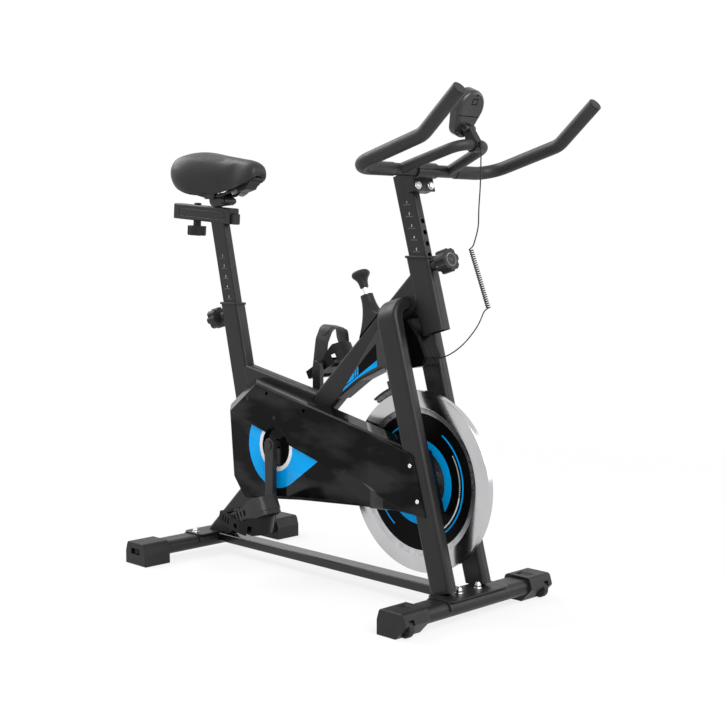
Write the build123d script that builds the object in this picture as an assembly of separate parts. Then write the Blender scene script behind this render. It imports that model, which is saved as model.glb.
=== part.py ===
# Indoor cycling bike with a chromed flywheel, a belt drive and a friction brake.
# Millimetres. X points forward, Y to the rider's left, Z up, and the floor is Z = 0.
# All heights and places come from the values below; the whole model is centred on X at the end.
from build123d import *
import math
import os

# Running and seating clearances
run_gap = 0.05
slide_gap = 0.3
soft_gap = 0.3

# Stabilizers across the floor
rear_stab_x = -405.0
front_stab_x = 416.0
stab_clear = 16.0
stab_height = 32.0
stab_depth = 62.0
stab_corner = 14.0
stab_wall = 2.0
rear_stab_half = 240.0
front_stab_half = 228.0
foot_length = 71.0
foot_depth = 78.0
foot_top_gap = 5.0
foot_end_wall = 30.0
plate_wall = 3.0
front_plate_half = 92.0
rear_plate_half = 74.0
stab_bolt_radius = 4.0
front_bolt_half = 29.0
rear_bolt_half = 62.0

# Rail along the floor
rail_width = 40.0
rail_height = 20.0
rail_bottom = 28.0
rail_corner = 3.0

# Flywheel, hub and axle; the wheel stands clear of the rail under it
wheel_x = 281.0
wheel_radius = 191.0
wheel_rail_gap = 19.0
wheel_z = rail_bottom + rail_height + wheel_rail_gap + wheel_radius
wheel_width = 16.0
rim_depth = 34.0
rim_bevel = 13.0
rim_edge = 1.2
web_thickness = 9.0
hub_radius = 32.0
axle_radius = 7.5
bearing_radius = 16.0
bearing_width = 11.0
dropout_wall = 6.0
dropout_height = 56.0

# Welded frame, with its heights taken from the wheel
tube_width = 30.0
tube_depth = 60.0
tube_wall = 2.0
tube_corner = 8.0
main_angle = 43.2
crank_x = -111.0
crank_rise = 41.0
crank_z = wheel_z + crank_rise
seat_lean = 13.2
seat_top_x = -330.0
seat_top_rise = 307.0
seat_top_z = crank_z + seat_top_rise
top_tube_depth = 50.0
top_tube_fall = 10.9
top_tube_rise = 147.0
top_tube_z = crank_z + top_tube_rise
head_lean = 16.0
head_top_x = 280.7
head_top_rise = 464.0
head_top_z = wheel_z + head_top_rise
head_length = 157.0
leg_lean = 15.73
leg_bottom_x = 396.9
leg_depth = 56.0
leg_width = 27.0
leg_corner = 9.0
leg_half_gap = 40.0
leg_bend = 34.0

# Belt drive
drive_radius = 98.0
driven_radius = 22.0
pulley_hub = 20.0
belt_width = 12.0
belt_thickness = 3.0
belt_y = -38.0
belt_gap = 0.3
shell_radius = 21.0
shell_half = 27.0
spindle_radius = 8.5

# Cranks and pedals
crank_length = 169.5
crank_inner = 66.5
crank_thickness = 13.5
crank_boss_radius = 15.0
crank_end_radius = 12.0
pedal_axle_radius = 6.0
pedal_gap = 6.0
pedal_width = 92.0
pedal_length = 104.0
pedal_thickness = 24.0
pedal_wall = 8.0
strap_width = 36.0
strap_thickness = 3.0

# Covers
cover_wall = 2.5
cover_bevel = 9.0
cover_field_y = -58.0
cover_band_y = -63.5
cover_recess_radius = 44.6
cover_recess_depth = 8.0
cover_recess_drop = 6.0
cover_notch = 2.0
cover_rear_bevel = 26.0
shroud_half = 24.0
shroud_wall = 2.5

# Seat post, slider and saddle
post_width = 20.0
post_depth = 50.0
post_wall = 2.0
post_corner = 4.5
seat_post_out = 199.0
seat_post_in = 190.0
collar_flange = 2.5
collar_height = 5.0
collar_depth = 45.0
seat_rail_fall = 4.5
seat_rail_height = 25.0
seat_rail_width = 20.0
seat_rail_length = 190.0
slider_width = 27.0
slider_height = 38.0
slider_length = 219.0
slider_wall = 2.5
stem_radius = 11.0
saddle_wire = 3.5
saddle_wire_half = 22.0

# Knobs and pins
pin_radius = 4.8
pin_boss_radius = 11.0
pin_boss_length = 13.0
knob_radius = 24.5
knob_length = 27.0
knob_stand = 10.0
knob_lobes = 7
slider_knob_radius = 23.0
slider_knob_length = 23.0

# Handlebar and monitor
bar_radius = 12.7
bar_wall = 1.8
sleeve_radius = 14.0
sleeve_end = 92.0
bar_x = 288.0
bar_rise = 178.0
bar_z = head_top_z + bar_rise
bar_half = 205.0
bar_corner = 48.0
bend_reach = 185.0
bend_rise = 51.5
tip_reach = 87.0
tip_rise = 75.5
loop_radius = 11.0
loop_half = 73.0
loop_reach = 133.0
loop_rise = 45.0
bar_post_in = 66.0
clamp_half = 30.0
clamp_wall = 3.5
clamp_bolt_half = 19.0
monitor_lean = 24.0
monitor_top_radius = 36.0
monitor_low_radius = 24.0
monitor_length = 98.0
monitor_thickness = 26.0
monitor_low_x = 379.0
monitor_low_rise = 64.0
monitor_low_z = bar_z + monitor_low_rise
bracket_half = 8.0

# Brake
brake_angle = 22.5
brake_push = 2.6
brake_clear = 0.4
brake_pad_height = 9.0
brake_half_angle = 15.0
brake_width = 14.0
rod_radius = 5.0
boot_top = 415.0
boot_radius = 14.0

# Transport wheels and levellers
roller_radius = 18.0
roller_width = 13.0
roller_pin = 3.0
roller_grip = 9.5
roller_x = 437.0
roller_z = 20.0
roller_y = 208.0
dial_radius = 13.0
dial_height = 10.0

# Monitor cable
cable_radius = 1.3
coil_radius = 3.7
coil_turns = 28


def xz(x, z):
    return Vector(x, 0, z)


def slanted(angle):
    # Unit vector that leans back from vertical by the given angle
    a = math.radians(angle)
    return Vector(-math.sin(a), 0, math.cos(a))


def along(angle):
    # Unit vector that rises forward from horizontal by the given angle
    a = math.radians(angle)
    return Vector(math.cos(a), 0, math.sin(a))


def meet(p, d, q, e):
    # Crossing of two lines in the side plane
    cross = d.X * e.Z - d.Z * e.X
    t = ((q.X - p.X) * e.Z - (q.Z - p.Z) * e.X) / cross
    return p + d * t


def prism(face, y_low, y_high):
    # Side view outline given a width from y_low to y_high
    return extrude(Plane.XZ.offset(-y_high) * face, y_high - y_low)


def outline(points, radius=0.0):
    face = make_face(Polyline(*points, close=True))
    return fillet(face.vertices(), radius) if radius else face


def disc(x, z, radius, y_low, y_high):
    return prism(Pos(x, z) * Circle(radius), y_low, y_high)


def rod(start, end, radius):
    axis = end - start
    return extrude(Plane(origin=start, z_dir=axis) * Circle(radius), axis.length)


def box_section(width, depth, corner, wall):
    face = RectangleRounded(width, depth, corner)
    if wall:
        face -= RectangleRounded(width - 2 * wall, depth - 2 * wall, max(corner - wall, 0.6))
    return face


def box_tube(start, end, width, depth, corner, wall):
    # Rectangular tube whose width is along Y
    axis = end - start
    plane = Plane(origin=start, x_dir=(0, 1, 0), z_dir=axis)
    return extrude(plane * box_section(width, depth, corner, wall), axis.length)


def both_sides(shape):
    return [shape, mirror(shape, about=Plane.XZ)]


def wrap_loop(x0, z0, r0, x1, z1, r1):
    # Outline of a band pulled round two circles
    span = math.hypot(x1 - x0, z1 - z0)
    base = math.atan2(z1 - z0, x1 - x0)
    spread = math.acos((r0 - r1) / span)

    def spot(x, z, r, a):
        return (x + r * math.cos(a), z + r * math.sin(a))

    up, low = base + spread, base - spread
    edges = [
        Line(spot(x0, z0, r0, up), spot(x1, z1, r1, up)),
        ThreePointArc(spot(x1, z1, r1, up), spot(x1, z1, r1, base), spot(x1, z1, r1, low)),
        Line(spot(x1, z1, r1, low), spot(x0, z0, r0, low)),
        ThreePointArc(spot(x0, z0, r0, low), spot(x0, z0, r0, base + math.pi), spot(x0, z0, r0, up)),
    ]
    return make_face(edges)


def hexagon(across, height, radius):
    # Nut or bolt head on the XY plane, with its upper corners turned off
    body = extrude(RegularPolygon(across / 2, 6, major_radius=False), height)
    cap = Pos(0, 0, height / 2) * Cylinder(across * 0.56, height)
    cap = chamfer(cap.edges().group_by(Axis.Z)[-1], across * 0.09)
    nut = body & cap
    return nut - Cylinder(radius, 4 * height) if radius else nut


# Shared points and directions
main_dir = along(main_angle)
crank_point = xz(crank_x, crank_z)
seat_dir = slanted(seat_lean)
seat_top = xz(seat_top_x, seat_top_z)
seat_foot = meet(seat_top, seat_dir, crank_point, main_dir)
head_dir = slanted(head_lean)
head_front = along(head_lean)
head_top = xz(head_top_x, head_top_z)
head_low = head_top - head_dir * head_length
main_end = meet(head_top, head_dir, crank_point, main_dir)
stab_top = stab_clear + stab_height
plate_top = stab_top + plate_wall
leg_dir = slanted(leg_lean)
leg_foot = xz(leg_bottom_x, plate_top)
leg_head = meet(leg_foot, leg_dir, crank_point, main_dir)
leg_y = leg_half_gap + leg_width / 2
leg_outer = leg_half_gap + leg_width
main_foot = crank_point - main_dir * ((crank_z - stab_clear) / main_dir.Z)
wheel_point = xz(wheel_x, wheel_z)
brake_dir = slanted(brake_angle)


def main_envelope():
    return box_tube(main_foot, main_end, tube_width, tube_depth, tube_corner, 0)


def level_above(top):
    # Everything above the level end of a tube
    return Pos(top.X, 0, top.Z + 4 * tube_depth) * Box(8 * tube_depth, 8 * tube_depth, 8 * tube_depth)


def seat_envelope():
    tube = box_tube(seat_foot, seat_top + seat_dir * tube_depth, tube_width, tube_depth, tube_corner, 0)
    return tube - level_above(seat_top)


def head_envelope():
    tube = box_tube(head_low, head_top + head_dir * tube_depth, tube_width, tube_depth, tube_corner, 0)
    return tube - level_above(head_top)


def leg_path():
    # Half of the fork: straight leg, then a bend inwards to the main tube
    inward = Vector(0, 1, 0)
    plane = Plane(origin=leg_foot + Vector(0, -leg_y, 0), x_dir=leg_dir, z_dir=leg_dir.cross(inward))
    rise = (leg_head - leg_foot).length
    reach = leg_y - tube_width / 2
    path = plane * FilletPolyline((0, 0), (rise, 0), (rise, reach), radius=leg_bend)
    section = Plane(origin=leg_foot + Vector(0, -leg_y, 0), x_dir=(0, 1, 0), z_dir=leg_dir)
    return path, section


def fork_leg():
    path, section = leg_path()
    outer = sweep(section * RectangleRounded(leg_width, leg_depth, leg_corner), path)
    inner = sweep(section * RectangleRounded(leg_width - 2 * tube_wall, leg_depth - 2 * tube_wall,
                                             leg_corner - tube_wall), path)
    foot_cut = Pos(leg_foot.X, -leg_y, plate_top - leg_depth / 2) * Box(4 * leg_depth, 4 * leg_width, leg_depth)
    return outer - inner - foot_cut


def leg_envelope(grow):
    start = leg_foot - leg_dir * leg_depth + Vector(0, -leg_y, 0)
    end = leg_head - leg_dir * leg_bend + Vector(0, -leg_y, 0)
    return box_tube(start, end, leg_width + 2 * grow, leg_depth + 2 * grow, leg_corner + grow, 0)


def main_tube():
    tube = box_tube(main_foot, main_end, tube_width, tube_depth, tube_corner, tube_wall)
    below = Pos(main_foot.X, 0, plate_top - tube_depth) * Box(8 * tube_depth, 2 * tube_width, 2 * tube_depth)
    shell_bore = disc(crank_x, crank_z, shell_radius, -tube_width, tube_width)
    rod_hole = rod(wheel_point, wheel_point + brake_dir * (2 * wheel_radius), rod_radius + slide_gap)
    return tube - below - head_envelope() - shell_bore - rod_hole


pin_drop = 21.0
bar_pin_drop = 24.0
seat_back = Vector(0, 0, 0) - along(seat_lean)
seat_pin_at = seat_top - seat_dir * pin_drop + seat_back * (tube_depth / 2)
bar_pin_at = head_top - head_dir * bar_pin_drop + head_front * (tube_depth / 2)


def pin_hole(place, outward):
    return rod(place - outward * (tube_depth / 3), place + outward * tube_depth, pin_radius + slide_gap)


def seat_tube():
    tube = box_tube(seat_foot, seat_top + seat_dir * tube_depth, tube_width, tube_depth, tube_corner, tube_wall)
    return tube - level_above(seat_top) - main_envelope() - pin_hole(seat_pin_at, seat_back)


def head_tube():
    tube = box_tube(head_low, head_top + head_dir * tube_depth, tube_width, tube_depth, tube_corner, tube_wall)
    return tube - level_above(head_top) - pin_hole(bar_pin_at, head_front)


def top_tube():
    start = meet(seat_top, seat_dir, xz(seat_top_x, top_tube_z), Vector(1, 0, 0))
    fall = along(-top_tube_fall)
    end = meet(start, fall, crank_point, main_dir)
    tube = box_tube(start, end, tube_width, top_tube_depth, tube_corner, tube_wall)
    return tube - main_envelope() - seat_envelope()


def stab_section(grow):
    return RectangleRounded(stab_depth + 2 * grow, stab_height + 2 * grow, stab_corner + grow)


def stab_solid(x, half, grow):
    return prism(Pos(x, stab_clear + stab_height / 2) * stab_section(grow), -half, half)


def stabilizer(x, half):
    face = stab_section(0) - stab_section(-stab_wall)
    return prism(Pos(x, stab_clear + stab_height / 2) * face, -half, half)


def mount_plate(x, half, bolt_half):
    # Saddle of bent plate that grips the upper half of a stabilizer
    face = Pos(x, stab_clear + stab_height / 2) * (stab_section(plate_wall) - stab_section(0))
    keep = Pos(x, stab_clear + stab_height) * Rectangle(2 * stab_depth, stab_height)
    plate = prism(face & keep, -half, half)
    lip = RectangleRounded(stab_depth + 2 * plate_wall, 2 * half, stab_corner)
    plate += Pos(x, 0, stab_top) * extrude(lip, plate_wall)
    for y in (-bolt_half, bolt_half):
        plate -= Pos(x, y, plate_top) * Cylinder(stab_bolt_radius, 4 * plate_wall)
    return plate


def bolt_through(x, half, bolt_half):
    # Holes of the carriage bolts through a stabilizer
    tube = stabilizer(x, half)
    for y in (-bolt_half, bolt_half):
        tube -= Pos(x, y, stab_clear + stab_height / 2) * Cylinder(stab_bolt_radius, 2 * stab_height)
    return tube


def base_rail():
    rear = main_foot.X
    front = front_stab_x
    middle = rail_bottom + rail_height / 2
    rail = box_tube(xz(rear, middle), xz(front, middle), rail_width, rail_height, rail_corner, tube_wall)
    cutters = [main_envelope(), stab_solid(front_stab_x, front_stab_half, plate_wall),
               stab_solid(rear_stab_x, rear_stab_half, plate_wall)]
    for cutter in cutters:
        rail -= cutter
    return max(rail.solids(), key=lambda s: s.volume)


def carriage_bolts():
    # Round head under the tube, dome nut on the plate
    solids = []
    for x, half in ((front_stab_x, front_bolt_half), (rear_stab_x, rear_bolt_half)):
        for y in (-half, half):
            shank = rod(Vector(x, y, stab_clear), Vector(x, y, plate_top), stab_bolt_radius)
            head = Pos(x, y, stab_clear - 1.5) * Cylinder(2.4 * stab_bolt_radius, 3)
            head = fillet(head.edges().group_by(Axis.Z)[0], 1.4)
            washer = Pos(x, y, plate_top + 0.8) * Cylinder(2.2 * stab_bolt_radius, 1.6)
            nut = Pos(x, y, plate_top + 1.6) * hexagon(13, 6.5, 0)
            dome = Pos(x, y, plate_top + 8.1) * Sphere(5.4)
            solids.append(shank + head + washer + nut + (dome - Pos(x, y, plate_top) * Box(30, 30, 16)))
    return solids


def foot_block(x, half, bevelled):
    # Moulded end cap that slips over a stabilizer and stands on the floor
    w = foot_depth / 2
    top = stab_top + foot_top_gap
    front_low = [(w - 28, 0), (w - 2, 27)] if bevelled else [(w, 0)]
    points = [(-w, 0)] + front_low + [(w, 30), (w - 7, top), (7 - w, top), (-w, 30)]
    face = outline(points)
    upper = face.vertices().sort_by(Axis.Y)[-2:]
    face = fillet(upper, 9)
    block = prism(Pos(x, 0) * face, -half, foot_length - half)
    block = chamfer(block.faces().sort_by(Axis.Y)[0].edges(), 1.5)
    return block - stab_solid(x, half - foot_end_wall, 0)


def rear_foot():
    # Foot with a levelling dial seen through a window in its end
    y = foot_end_wall / 2 - rear_stab_half
    middle = stab_clear + stab_height / 2
    foot = foot_block(rear_stab_x, rear_stab_half, False)
    pocket = Cylinder(dial_radius + soft_gap, dial_height + 2 * soft_gap)
    foot -= Pos(rear_stab_x, y, middle) * pocket
    foot -= Pos(rear_stab_x, y, 0) * Cylinder(4 + soft_gap, 2 * middle)
    foot -= Pos(rear_stab_x, y, 0) * Cylinder(dial_radius - 3 + soft_gap, 10 + soft_gap)
    window = Box(2.6 * dial_radius, foot_end_wall, dial_height + 4)
    return foot - Pos(rear_stab_x, y - foot_end_wall / 2, middle) * window


def leveller():
    # Ribbed dial, screw and pad in one
    y = foot_end_wall / 2 - rear_stab_half
    middle = stab_clear + stab_height / 2
    rim = Circle(dial_radius)
    for k in range(20):
        rim -= Rot(0, 0, 18 * k) * Pos(dial_radius, 0) * Circle(0.9)
    dial = Pos(0, 0, middle - dial_height / 2) * extrude(rim, dial_height)
    stem = Pos(0, 0, middle / 2) * Cylinder(4, middle - 1)
    pad = Pos(0, 0, 2.75) * Cylinder(dial_radius - 3, 4.5)
    return Pos(rear_stab_x, y, 0) * (dial + stem + pad)


def front_foot():
    # Foot with a transport wheel at its front lower corner
    foot = foot_block(front_stab_x, front_stab_half, True)
    slot = roller_width / 2 + 0.6
    foot -= disc(roller_x, roller_z, roller_radius + 1, -roller_y - slot, slot - roller_y)
    ahead = Pos(roller_x + roller_radius, -roller_y, roller_z)
    foot -= ahead * Box(2 * roller_radius, 2 * slot, 2 * roller_radius + 2)
    foot -= disc(roller_x, roller_z, roller_pin, -roller_y - roller_grip, roller_grip - roller_y)
    dent = Pos(front_stab_x, foot_length - front_stab_half - 24, stab_top + foot_top_gap + 26)
    return foot - dent * Rot(0, 90, 0) * Cylinder(29, 34)


def roller():
    wheel = disc(roller_x, roller_z, roller_radius, -roller_y - roller_width / 2, roller_width / 2 - roller_y)
    wheel = fillet(wheel.edges().filter_by(GeomType.CIRCLE), 2)
    groove = disc(roller_x, roller_z, roller_radius - 5, -roller_y - roller_width / 2, 2 - roller_y - roller_width / 2)
    groove -= disc(roller_x, roller_z, roller_pin + 4, -roller_y - roller_width, 0)
    return wheel - groove - disc(roller_x, roller_z, roller_pin + run_gap, -roller_y - 20, 20 - roller_y)


def roller_axle():
    return disc(roller_x, roller_z, roller_pin, -roller_y - roller_grip, roller_grip - roller_y)


def tube_collar(top, direction, place, outward):
    # Plastic sleeve between an outer tube and the post that slides in it
    far = direction * tube_depth
    flange = box_tube(top - far, top + far, tube_width + 2 * collar_flange, tube_depth + 2 * collar_flange, 9, 0)
    slab = Pos(top.X, 0, top.Z + collar_height / 2) * Box(8 * tube_depth, 8 * tube_depth, collar_height)
    flange = flange & slab
    flange = fillet(flange.faces().sort_by(Axis.Z)[-1].edges(), 1.5)
    low = top - direction * collar_depth
    inner_width = tube_width - 2 * tube_wall
    inner_depth = tube_depth - 2 * tube_wall
    sleeve = box_tube(low, top + far, inner_width, inner_depth, tube_corner - tube_wall, 0) - level_above(top)
    bore = box_tube(low - far, top + far * 2, post_width + 2 * slide_gap, post_depth + 2 * slide_gap, post_corner, 0)
    return flange + sleeve - bore - pin_hole(place, outward)


def pin_boss(place, outward):
    boss = rod(place, place + outward * pin_boss_length, pin_boss_radius)
    return boss - rod(place - outward, place + outward * tube_depth, pin_radius + slide_gap)


def post_pin(place, outward):
    # Pop pin that stands just clear of the post's face
    tip = place - outward * ((tube_depth - post_depth) / 2 - slide_gap)
    end = place + outward * (pin_boss_length + knob_stand + knob_length)
    return rod(tip, end, pin_radius)


def lobed(radius, lobes, depth):
    face = Circle(radius)
    for k in range(lobes):
        face -= Rot(0, 0, 360 * k / lobes) * Pos(radius + depth, 0) * Circle(2 * depth)
    return face


def grip_knob(place, outward):
    # Fluted hand knob with a collar towards the tube
    start = pin_boss_length + knob_stand
    base = Plane(origin=place + outward * start, z_dir=outward)
    head = extrude(lobed(knob_radius, knob_lobes, 3.5), knob_length)
    head = chamfer(head.faces().sort_by(Axis.Z)[-1].edges(), 2)
    neck = Pos(0, 0, -1) * Cylinder(13, 2)
    bore = Cylinder(pin_radius + run_gap, 4 * knob_length)
    face_ring = Pos(0, 0, knob_length) * (Cylinder(14, 2) - Cylinder(12, 2))
    return base * (head + neck - bore - face_ring)


def bottom_bracket():
    return disc(crank_x, crank_z, shell_radius, -shell_half, shell_half) - disc(
        crank_x, crank_z, shell_radius - 4, -shell_half, shell_half)


def crank_bearing():
    y = shell_half - 2
    ring = disc(crank_x, crank_z, shell_radius - 4, -y, 12 - y)
    return ring - disc(crank_x, crank_z, spindle_radius + run_gap, -y, 12 - y)


# Ends of the flywheel hub, and the plates that hold its axle outside them
hub_side = -belt_y + belt_width / 2 + 1.0
dropout_y = hub_side + 3.5


def dropout():
    # Plate behind a leg that carries the end of the flywheel axle
    y = -dropout_y
    lug = wrap_loop(wheel_x, wheel_z, dropout_height * 0.4, wheel_x + 60, wheel_z, dropout_height / 2)
    plate = prism(lug, y - dropout_wall, y) - disc(wheel_x, wheel_z, axle_radius, -leg_outer, leg_outer)
    plate -= leg_envelope(0)
    return min(plate.solids(), key=lambda s: s.center().X)


axle_half = dropout_y + dropout_wall + 8.0


def flywheel_axle():
    return disc(wheel_x, wheel_z, axle_radius, -axle_half, axle_half)


def axle_nut():
    y = dropout_y + dropout_wall
    nut = hexagon(22, 6.5, axle_radius)
    return Plane(origin=(wheel_x, -y, wheel_z), z_dir=(0, -1, 0)) * nut


def ring(x, z, outer, inner, y_low, y_high):
    return disc(x, z, outer, y_low, y_high) - disc(x, z, inner, y_low - 1, y_high + 1)


def flywheel():
    # Heavy rim with broad sides, a sloping step down to a thin web, and turned edges
    half = wheel_width / 2
    web = web_thickness / 2
    inside = wheel_radius - rim_depth
    side = [(hub_radius, web), (inside - rim_bevel, web), (inside, half), (wheel_radius - rim_edge, half),
            (wheel_radius, half - rim_edge)]
    face = make_face(Polyline(*side, *[(r, -y) for r, y in reversed(side)], close=True))
    plane = Plane(origin=wheel_point, x_dir=(1, 0, 0), z_dir=(0, 0, -1))
    return revolve(plane * face, Axis(wheel_point, (0, 1, 0)))


def flywheel_hub():
    # Hub sleeve, with the driven pulley on the belt side, and its two bearings
    half = wheel_width / 2 + 4
    side = hub_side
    body = disc(wheel_x, wheel_z, hub_radius, -half, half)
    neck = disc(wheel_x, wheel_z, driven_radius - 2, -side, -half)
    pulley = disc(wheel_x, wheel_z, driven_radius - belt_gap, -side, belt_width / 2 + 1 + belt_y)
    for y in (-side, belt_width / 2 + belt_y):
        pulley += disc(wheel_x, wheel_z, driven_radius + 4, y, y + 1)
    hub = body + neck + pulley - disc(wheel_x, wheel_z, bearing_radius, -side, half)
    spacer = ring(wheel_x, wheel_z, bearing_radius, axle_radius + 1, bearing_width - side, half - bearing_width)
    solids = [hub + spacer]
    for y in (-side, half - bearing_width):
        solids.append(ring(wheel_x, wheel_z, bearing_radius, axle_radius + run_gap, y, y + bearing_width))
    return solids


def drive_pulley():
    side = belt_width / 2
    low, high = belt_y - side, belt_y + side
    wheel = ring(crank_x, crank_z, drive_radius - belt_gap, drive_radius - 12, low, high)
    for y in (low - 1, high):
        wheel += ring(crank_x, crank_z, drive_radius + 4, drive_radius - 12, y, y + 1)
    web = ring(crank_x, crank_z, drive_radius - 12, spindle_radius, belt_y - 3, belt_y + 3)
    mid = (drive_radius - 12 + pulley_hub) / 2
    for k in range(5):
        a = math.radians(72 * k + 18)
        x, z = crank_x + mid * math.cos(a), crank_z + mid * math.sin(a)
        web -= disc(x, z, mid - pulley_hub - 14, belt_y - 4, belt_y + 4)
    hub = ring(crank_x, crank_z, pulley_hub, spindle_radius, belt_y - 5, -shell_half - 1)
    return wheel + web + hub


def drive_belt():
    outer = wrap_loop(crank_x, crank_z, drive_radius + belt_thickness, wheel_x, wheel_z, driven_radius + belt_thickness)
    inner = wrap_loop(crank_x, crank_z, drive_radius, wheel_x, wheel_z, driven_radius)
    half = belt_width / 2 - 0.5
    return prism(outer - inner, belt_y - half, belt_y + half)


crank_outer = crank_inner + crank_thickness
square_side = 12.7


def crank_spindle():
    core = disc(crank_x, crank_z, spindle_radius, -crank_inner, crank_inner)
    square = Pos(crank_x, crank_z) * Rectangle(square_side, square_side)
    ends = prism(square, -crank_outer, crank_outer) - disc(crank_x, crank_z, 20, -crank_inner, crank_inner)
    caps = disc(crank_x, crank_z, 10, -crank_outer - 2.5, crank_outer + 2.5)
    caps -= disc(crank_x, crank_z, 11, -crank_outer, crank_outer)
    return core + ends + caps


def crank_arm(side):
    # Arm on the right side for side -1 hanging down, on the left for 1 standing up
    tip = crank_z + side * crank_length
    y = sorted((side * crank_inner, side * crank_outer))
    arm = prism(wrap_loop(crank_x, crank_z, crank_boss_radius, crank_x, tip, crank_end_radius), *y)
    arm = fillet(arm.faces().filter_by(Axis.Y).edges(), 2.2)
    arm -= prism(Pos(crank_x, crank_z) * Rectangle(square_side, square_side), *y)
    return arm - disc(crank_x, tip, pedal_axle_radius, *y)


def pedal_axle(side):
    tip = crank_z + side * crank_length
    end = crank_outer + pedal_gap + pedal_width - 8
    core = disc(crank_x, tip, pedal_axle_radius, *sorted((side * crank_inner, side * end)))
    flange = disc(crank_x, tip, pedal_axle_radius + 2.5, *sorted((side * crank_outer, side * (crank_outer + 3))))
    return core + flange


pedal_y = crank_outer + pedal_gap + pedal_width / 2
pedal_tilts = {-1: 15.0, 1: -30.0}
strap_leans = {-1: 49.0, 1: 40.0}
strap_heights = {-1: 84.0, 1: 88.0}


def pedal_plan(inset):
    r = pedal_width / 2 - inset
    nose = pedal_length / 2 - pedal_width / 2
    rear = inset - pedal_length / 2 - 6
    edges = [Line((nose, r), (rear, r)), Line((rear, r), (rear, -r)), Line((rear, -r), (nose, -r)),
             ThreePointArc((nose, -r), (nose + r, 0), (nose, r))]
    return make_face(edges)


def pedal_place(side):
    tip = crank_z + side * crank_length
    return Pos(crank_x, side * pedal_y, tip) * Rot(0, pedal_tilts[side], 0)


def pedal(side):
    # Caged platform with a raised toe lip, its outer side towards -Y
    t = pedal_thickness / 2
    long = pedal_length / 2
    body = extrude(Pos(0, 0, -t) * pedal_plan(0), 2 * t)
    profile = outline([(-long - 8, -t + 5), (-long + 16, -t), (long - 22, -t), (long + 2, -t + 6),
                       (long + 2, t), (-long - 8, t)])
    body = body & prism(profile, -pedal_width, pedal_width)
    inner = pedal_width - 2 * pedal_wall
    for x in (-long * 0.62, long * 0.50):
        body -= Pos(x, 0, 0) * Box(long * 0.5, inner, 4 * t)
    barrel = Rot(90, 0, 0) * Cylinder(pedal_axle_radius + 5.5, inner)
    body += barrel
    lip = extrude(Pos(0, 0, t) * (pedal_plan(0) - pedal_plan(4)), 24)
    slope = outline([(12, t), (long + 2, t), (long + 2, t + 22), (long - 12, t + 22)])
    body += lip & prism(slope, -pedal_width, pedal_width)
    for k in range(3):
        body -= Pos(-long + 8 + 9 * k, -pedal_width / 2, 0) * Box(4, 6, pedal_thickness * 0.55)
    bore = Rot(90, 0, 0) * Cylinder(pedal_axle_radius + run_gap, 2 * pedal_width)
    shape = body - bore
    return pedal_place(side) * (shape if side < 0 else mirror(shape, about=Plane.XZ))


def pedal_strap(side):
    # Wide strap arched over the shoe from one side of the pedal to the other
    reach = pedal_width / 2 - pedal_wall / 2 - strap_thickness - 1
    rise = strap_heights[side]
    lean = strap_leans[side]
    u = Vector(math.sin(math.radians(lean)), 0, math.cos(math.radians(lean)))
    plane = Plane(origin=Vector(-14, 0, pedal_thickness / 2), x_dir=(0, 1, 0), z_dir=Vector(0, 1, 0).cross(u))
    low = -18
    path = FilletPolyline((-reach, low), (-reach + 1, rise * 0.35), (-reach * 0.55, rise * 0.94),
                          (reach * 0.7, rise), (reach, rise * 0.62), (reach - 1, low), radius=15)
    start = path @ 0
    section = Plane(origin=start, x_dir=(0, 0, 1), z_dir=path % 0) * Rectangle(strap_width, strap_thickness)
    band = plane * sweep(section, path)
    band -= Pos(0, 0, pedal_thickness / 2 - 50) * Box(400, 400, 100)
    band = pedal_place(side) * (band if side < 0 else mirror(band, about=Plane.XZ))
    return max((band - pedal(side)).solids(), key=lambda s: s.volume)


# Outline of the belt cover in side view: rear points from the crank, front points from the wheel's axle
cover_rear = [(-93, 141), (-184, 73), (-171, -77), (-119, -140), (75, -119)]
cover_front = [(-138, -65), (2, -56), (85, -62), (46, 70), (31, 76)]
# Lower edge of the raised band, with a scoop near the front
band_rear = [(-93, 141), (-184, 73), (-179, 66), (-29, 22), (48, 7), (135, -20)]
band_front = [(-176, 0), (-160, 11), (-118, 1), (-92, -22), (-30, -44), (19, -55), (85, -62), (46, 70), (31, 76)]


def cover_outline(rear, front, radius):
    points = [(crank_x + x, crank_z + z) for x, z in rear] + [(wheel_x + x, wheel_z + z) for x, z in front]
    return outline(points, radius)


cover_flare_x = 190.0
cover_leg_x = 290.0
cover_back_y = -tube_width / 2
cover_front_y = -leg_outer - soft_gap - cover_wall
screw_flange = [(wheel_x + 36, wheel_z + 45), (wheel_x + 57, wheel_z - 26)]
screw_band = [(crank_x - 95, crank_z + 97), (crank_x - 1, crank_z + 61)]
dish_z = crank_z - cover_recess_drop


def cover_plan(side_y, inset):
    # Plan view: flat beside the belt, then flared out to lap the fork leg
    back = cover_back_y
    points = [(-400, back), (-400, side_y + inset), (cover_flare_x, side_y + inset),
              (cover_leg_x, cover_front_y + inset), (400, cover_front_y + inset), (400, back)]
    return extrude(make_face(Polyline(*points, close=True)), 600)


def raised(face, y_knee, y_face, slope):
    # Outline drawn straight out to y_knee, then with sloping sides to y_face
    straight = prism(face, y_knee, cover_back_y)
    return straight + extrude(Plane.XZ.offset(-y_knee) * face, y_knee - y_face, taper=slope)


def rear_wedge(inset):
    # Room in front of the broad bevel along the rear edges, open on the other sides
    top, tip, low = [Vector(crank_x + x, crank_z + z) for x, z in cover_rear[:3]]
    up = (top - tip).normalized()
    down = (low - tip).normalized()
    far = 700.0
    points = [tip + up * far, tip, tip + down * far, Vector(far, tip.Y - far), Vector(far, tip.Y + far)]
    face = make_face(Polyline(*points, close=True))
    if inset:
        face = offset(face, -inset)
    knee = cover_band_y + cover_rear_bevel + inset
    return raised(face, knee, knee - 2 * cover_rear_bevel, 45)


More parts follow.
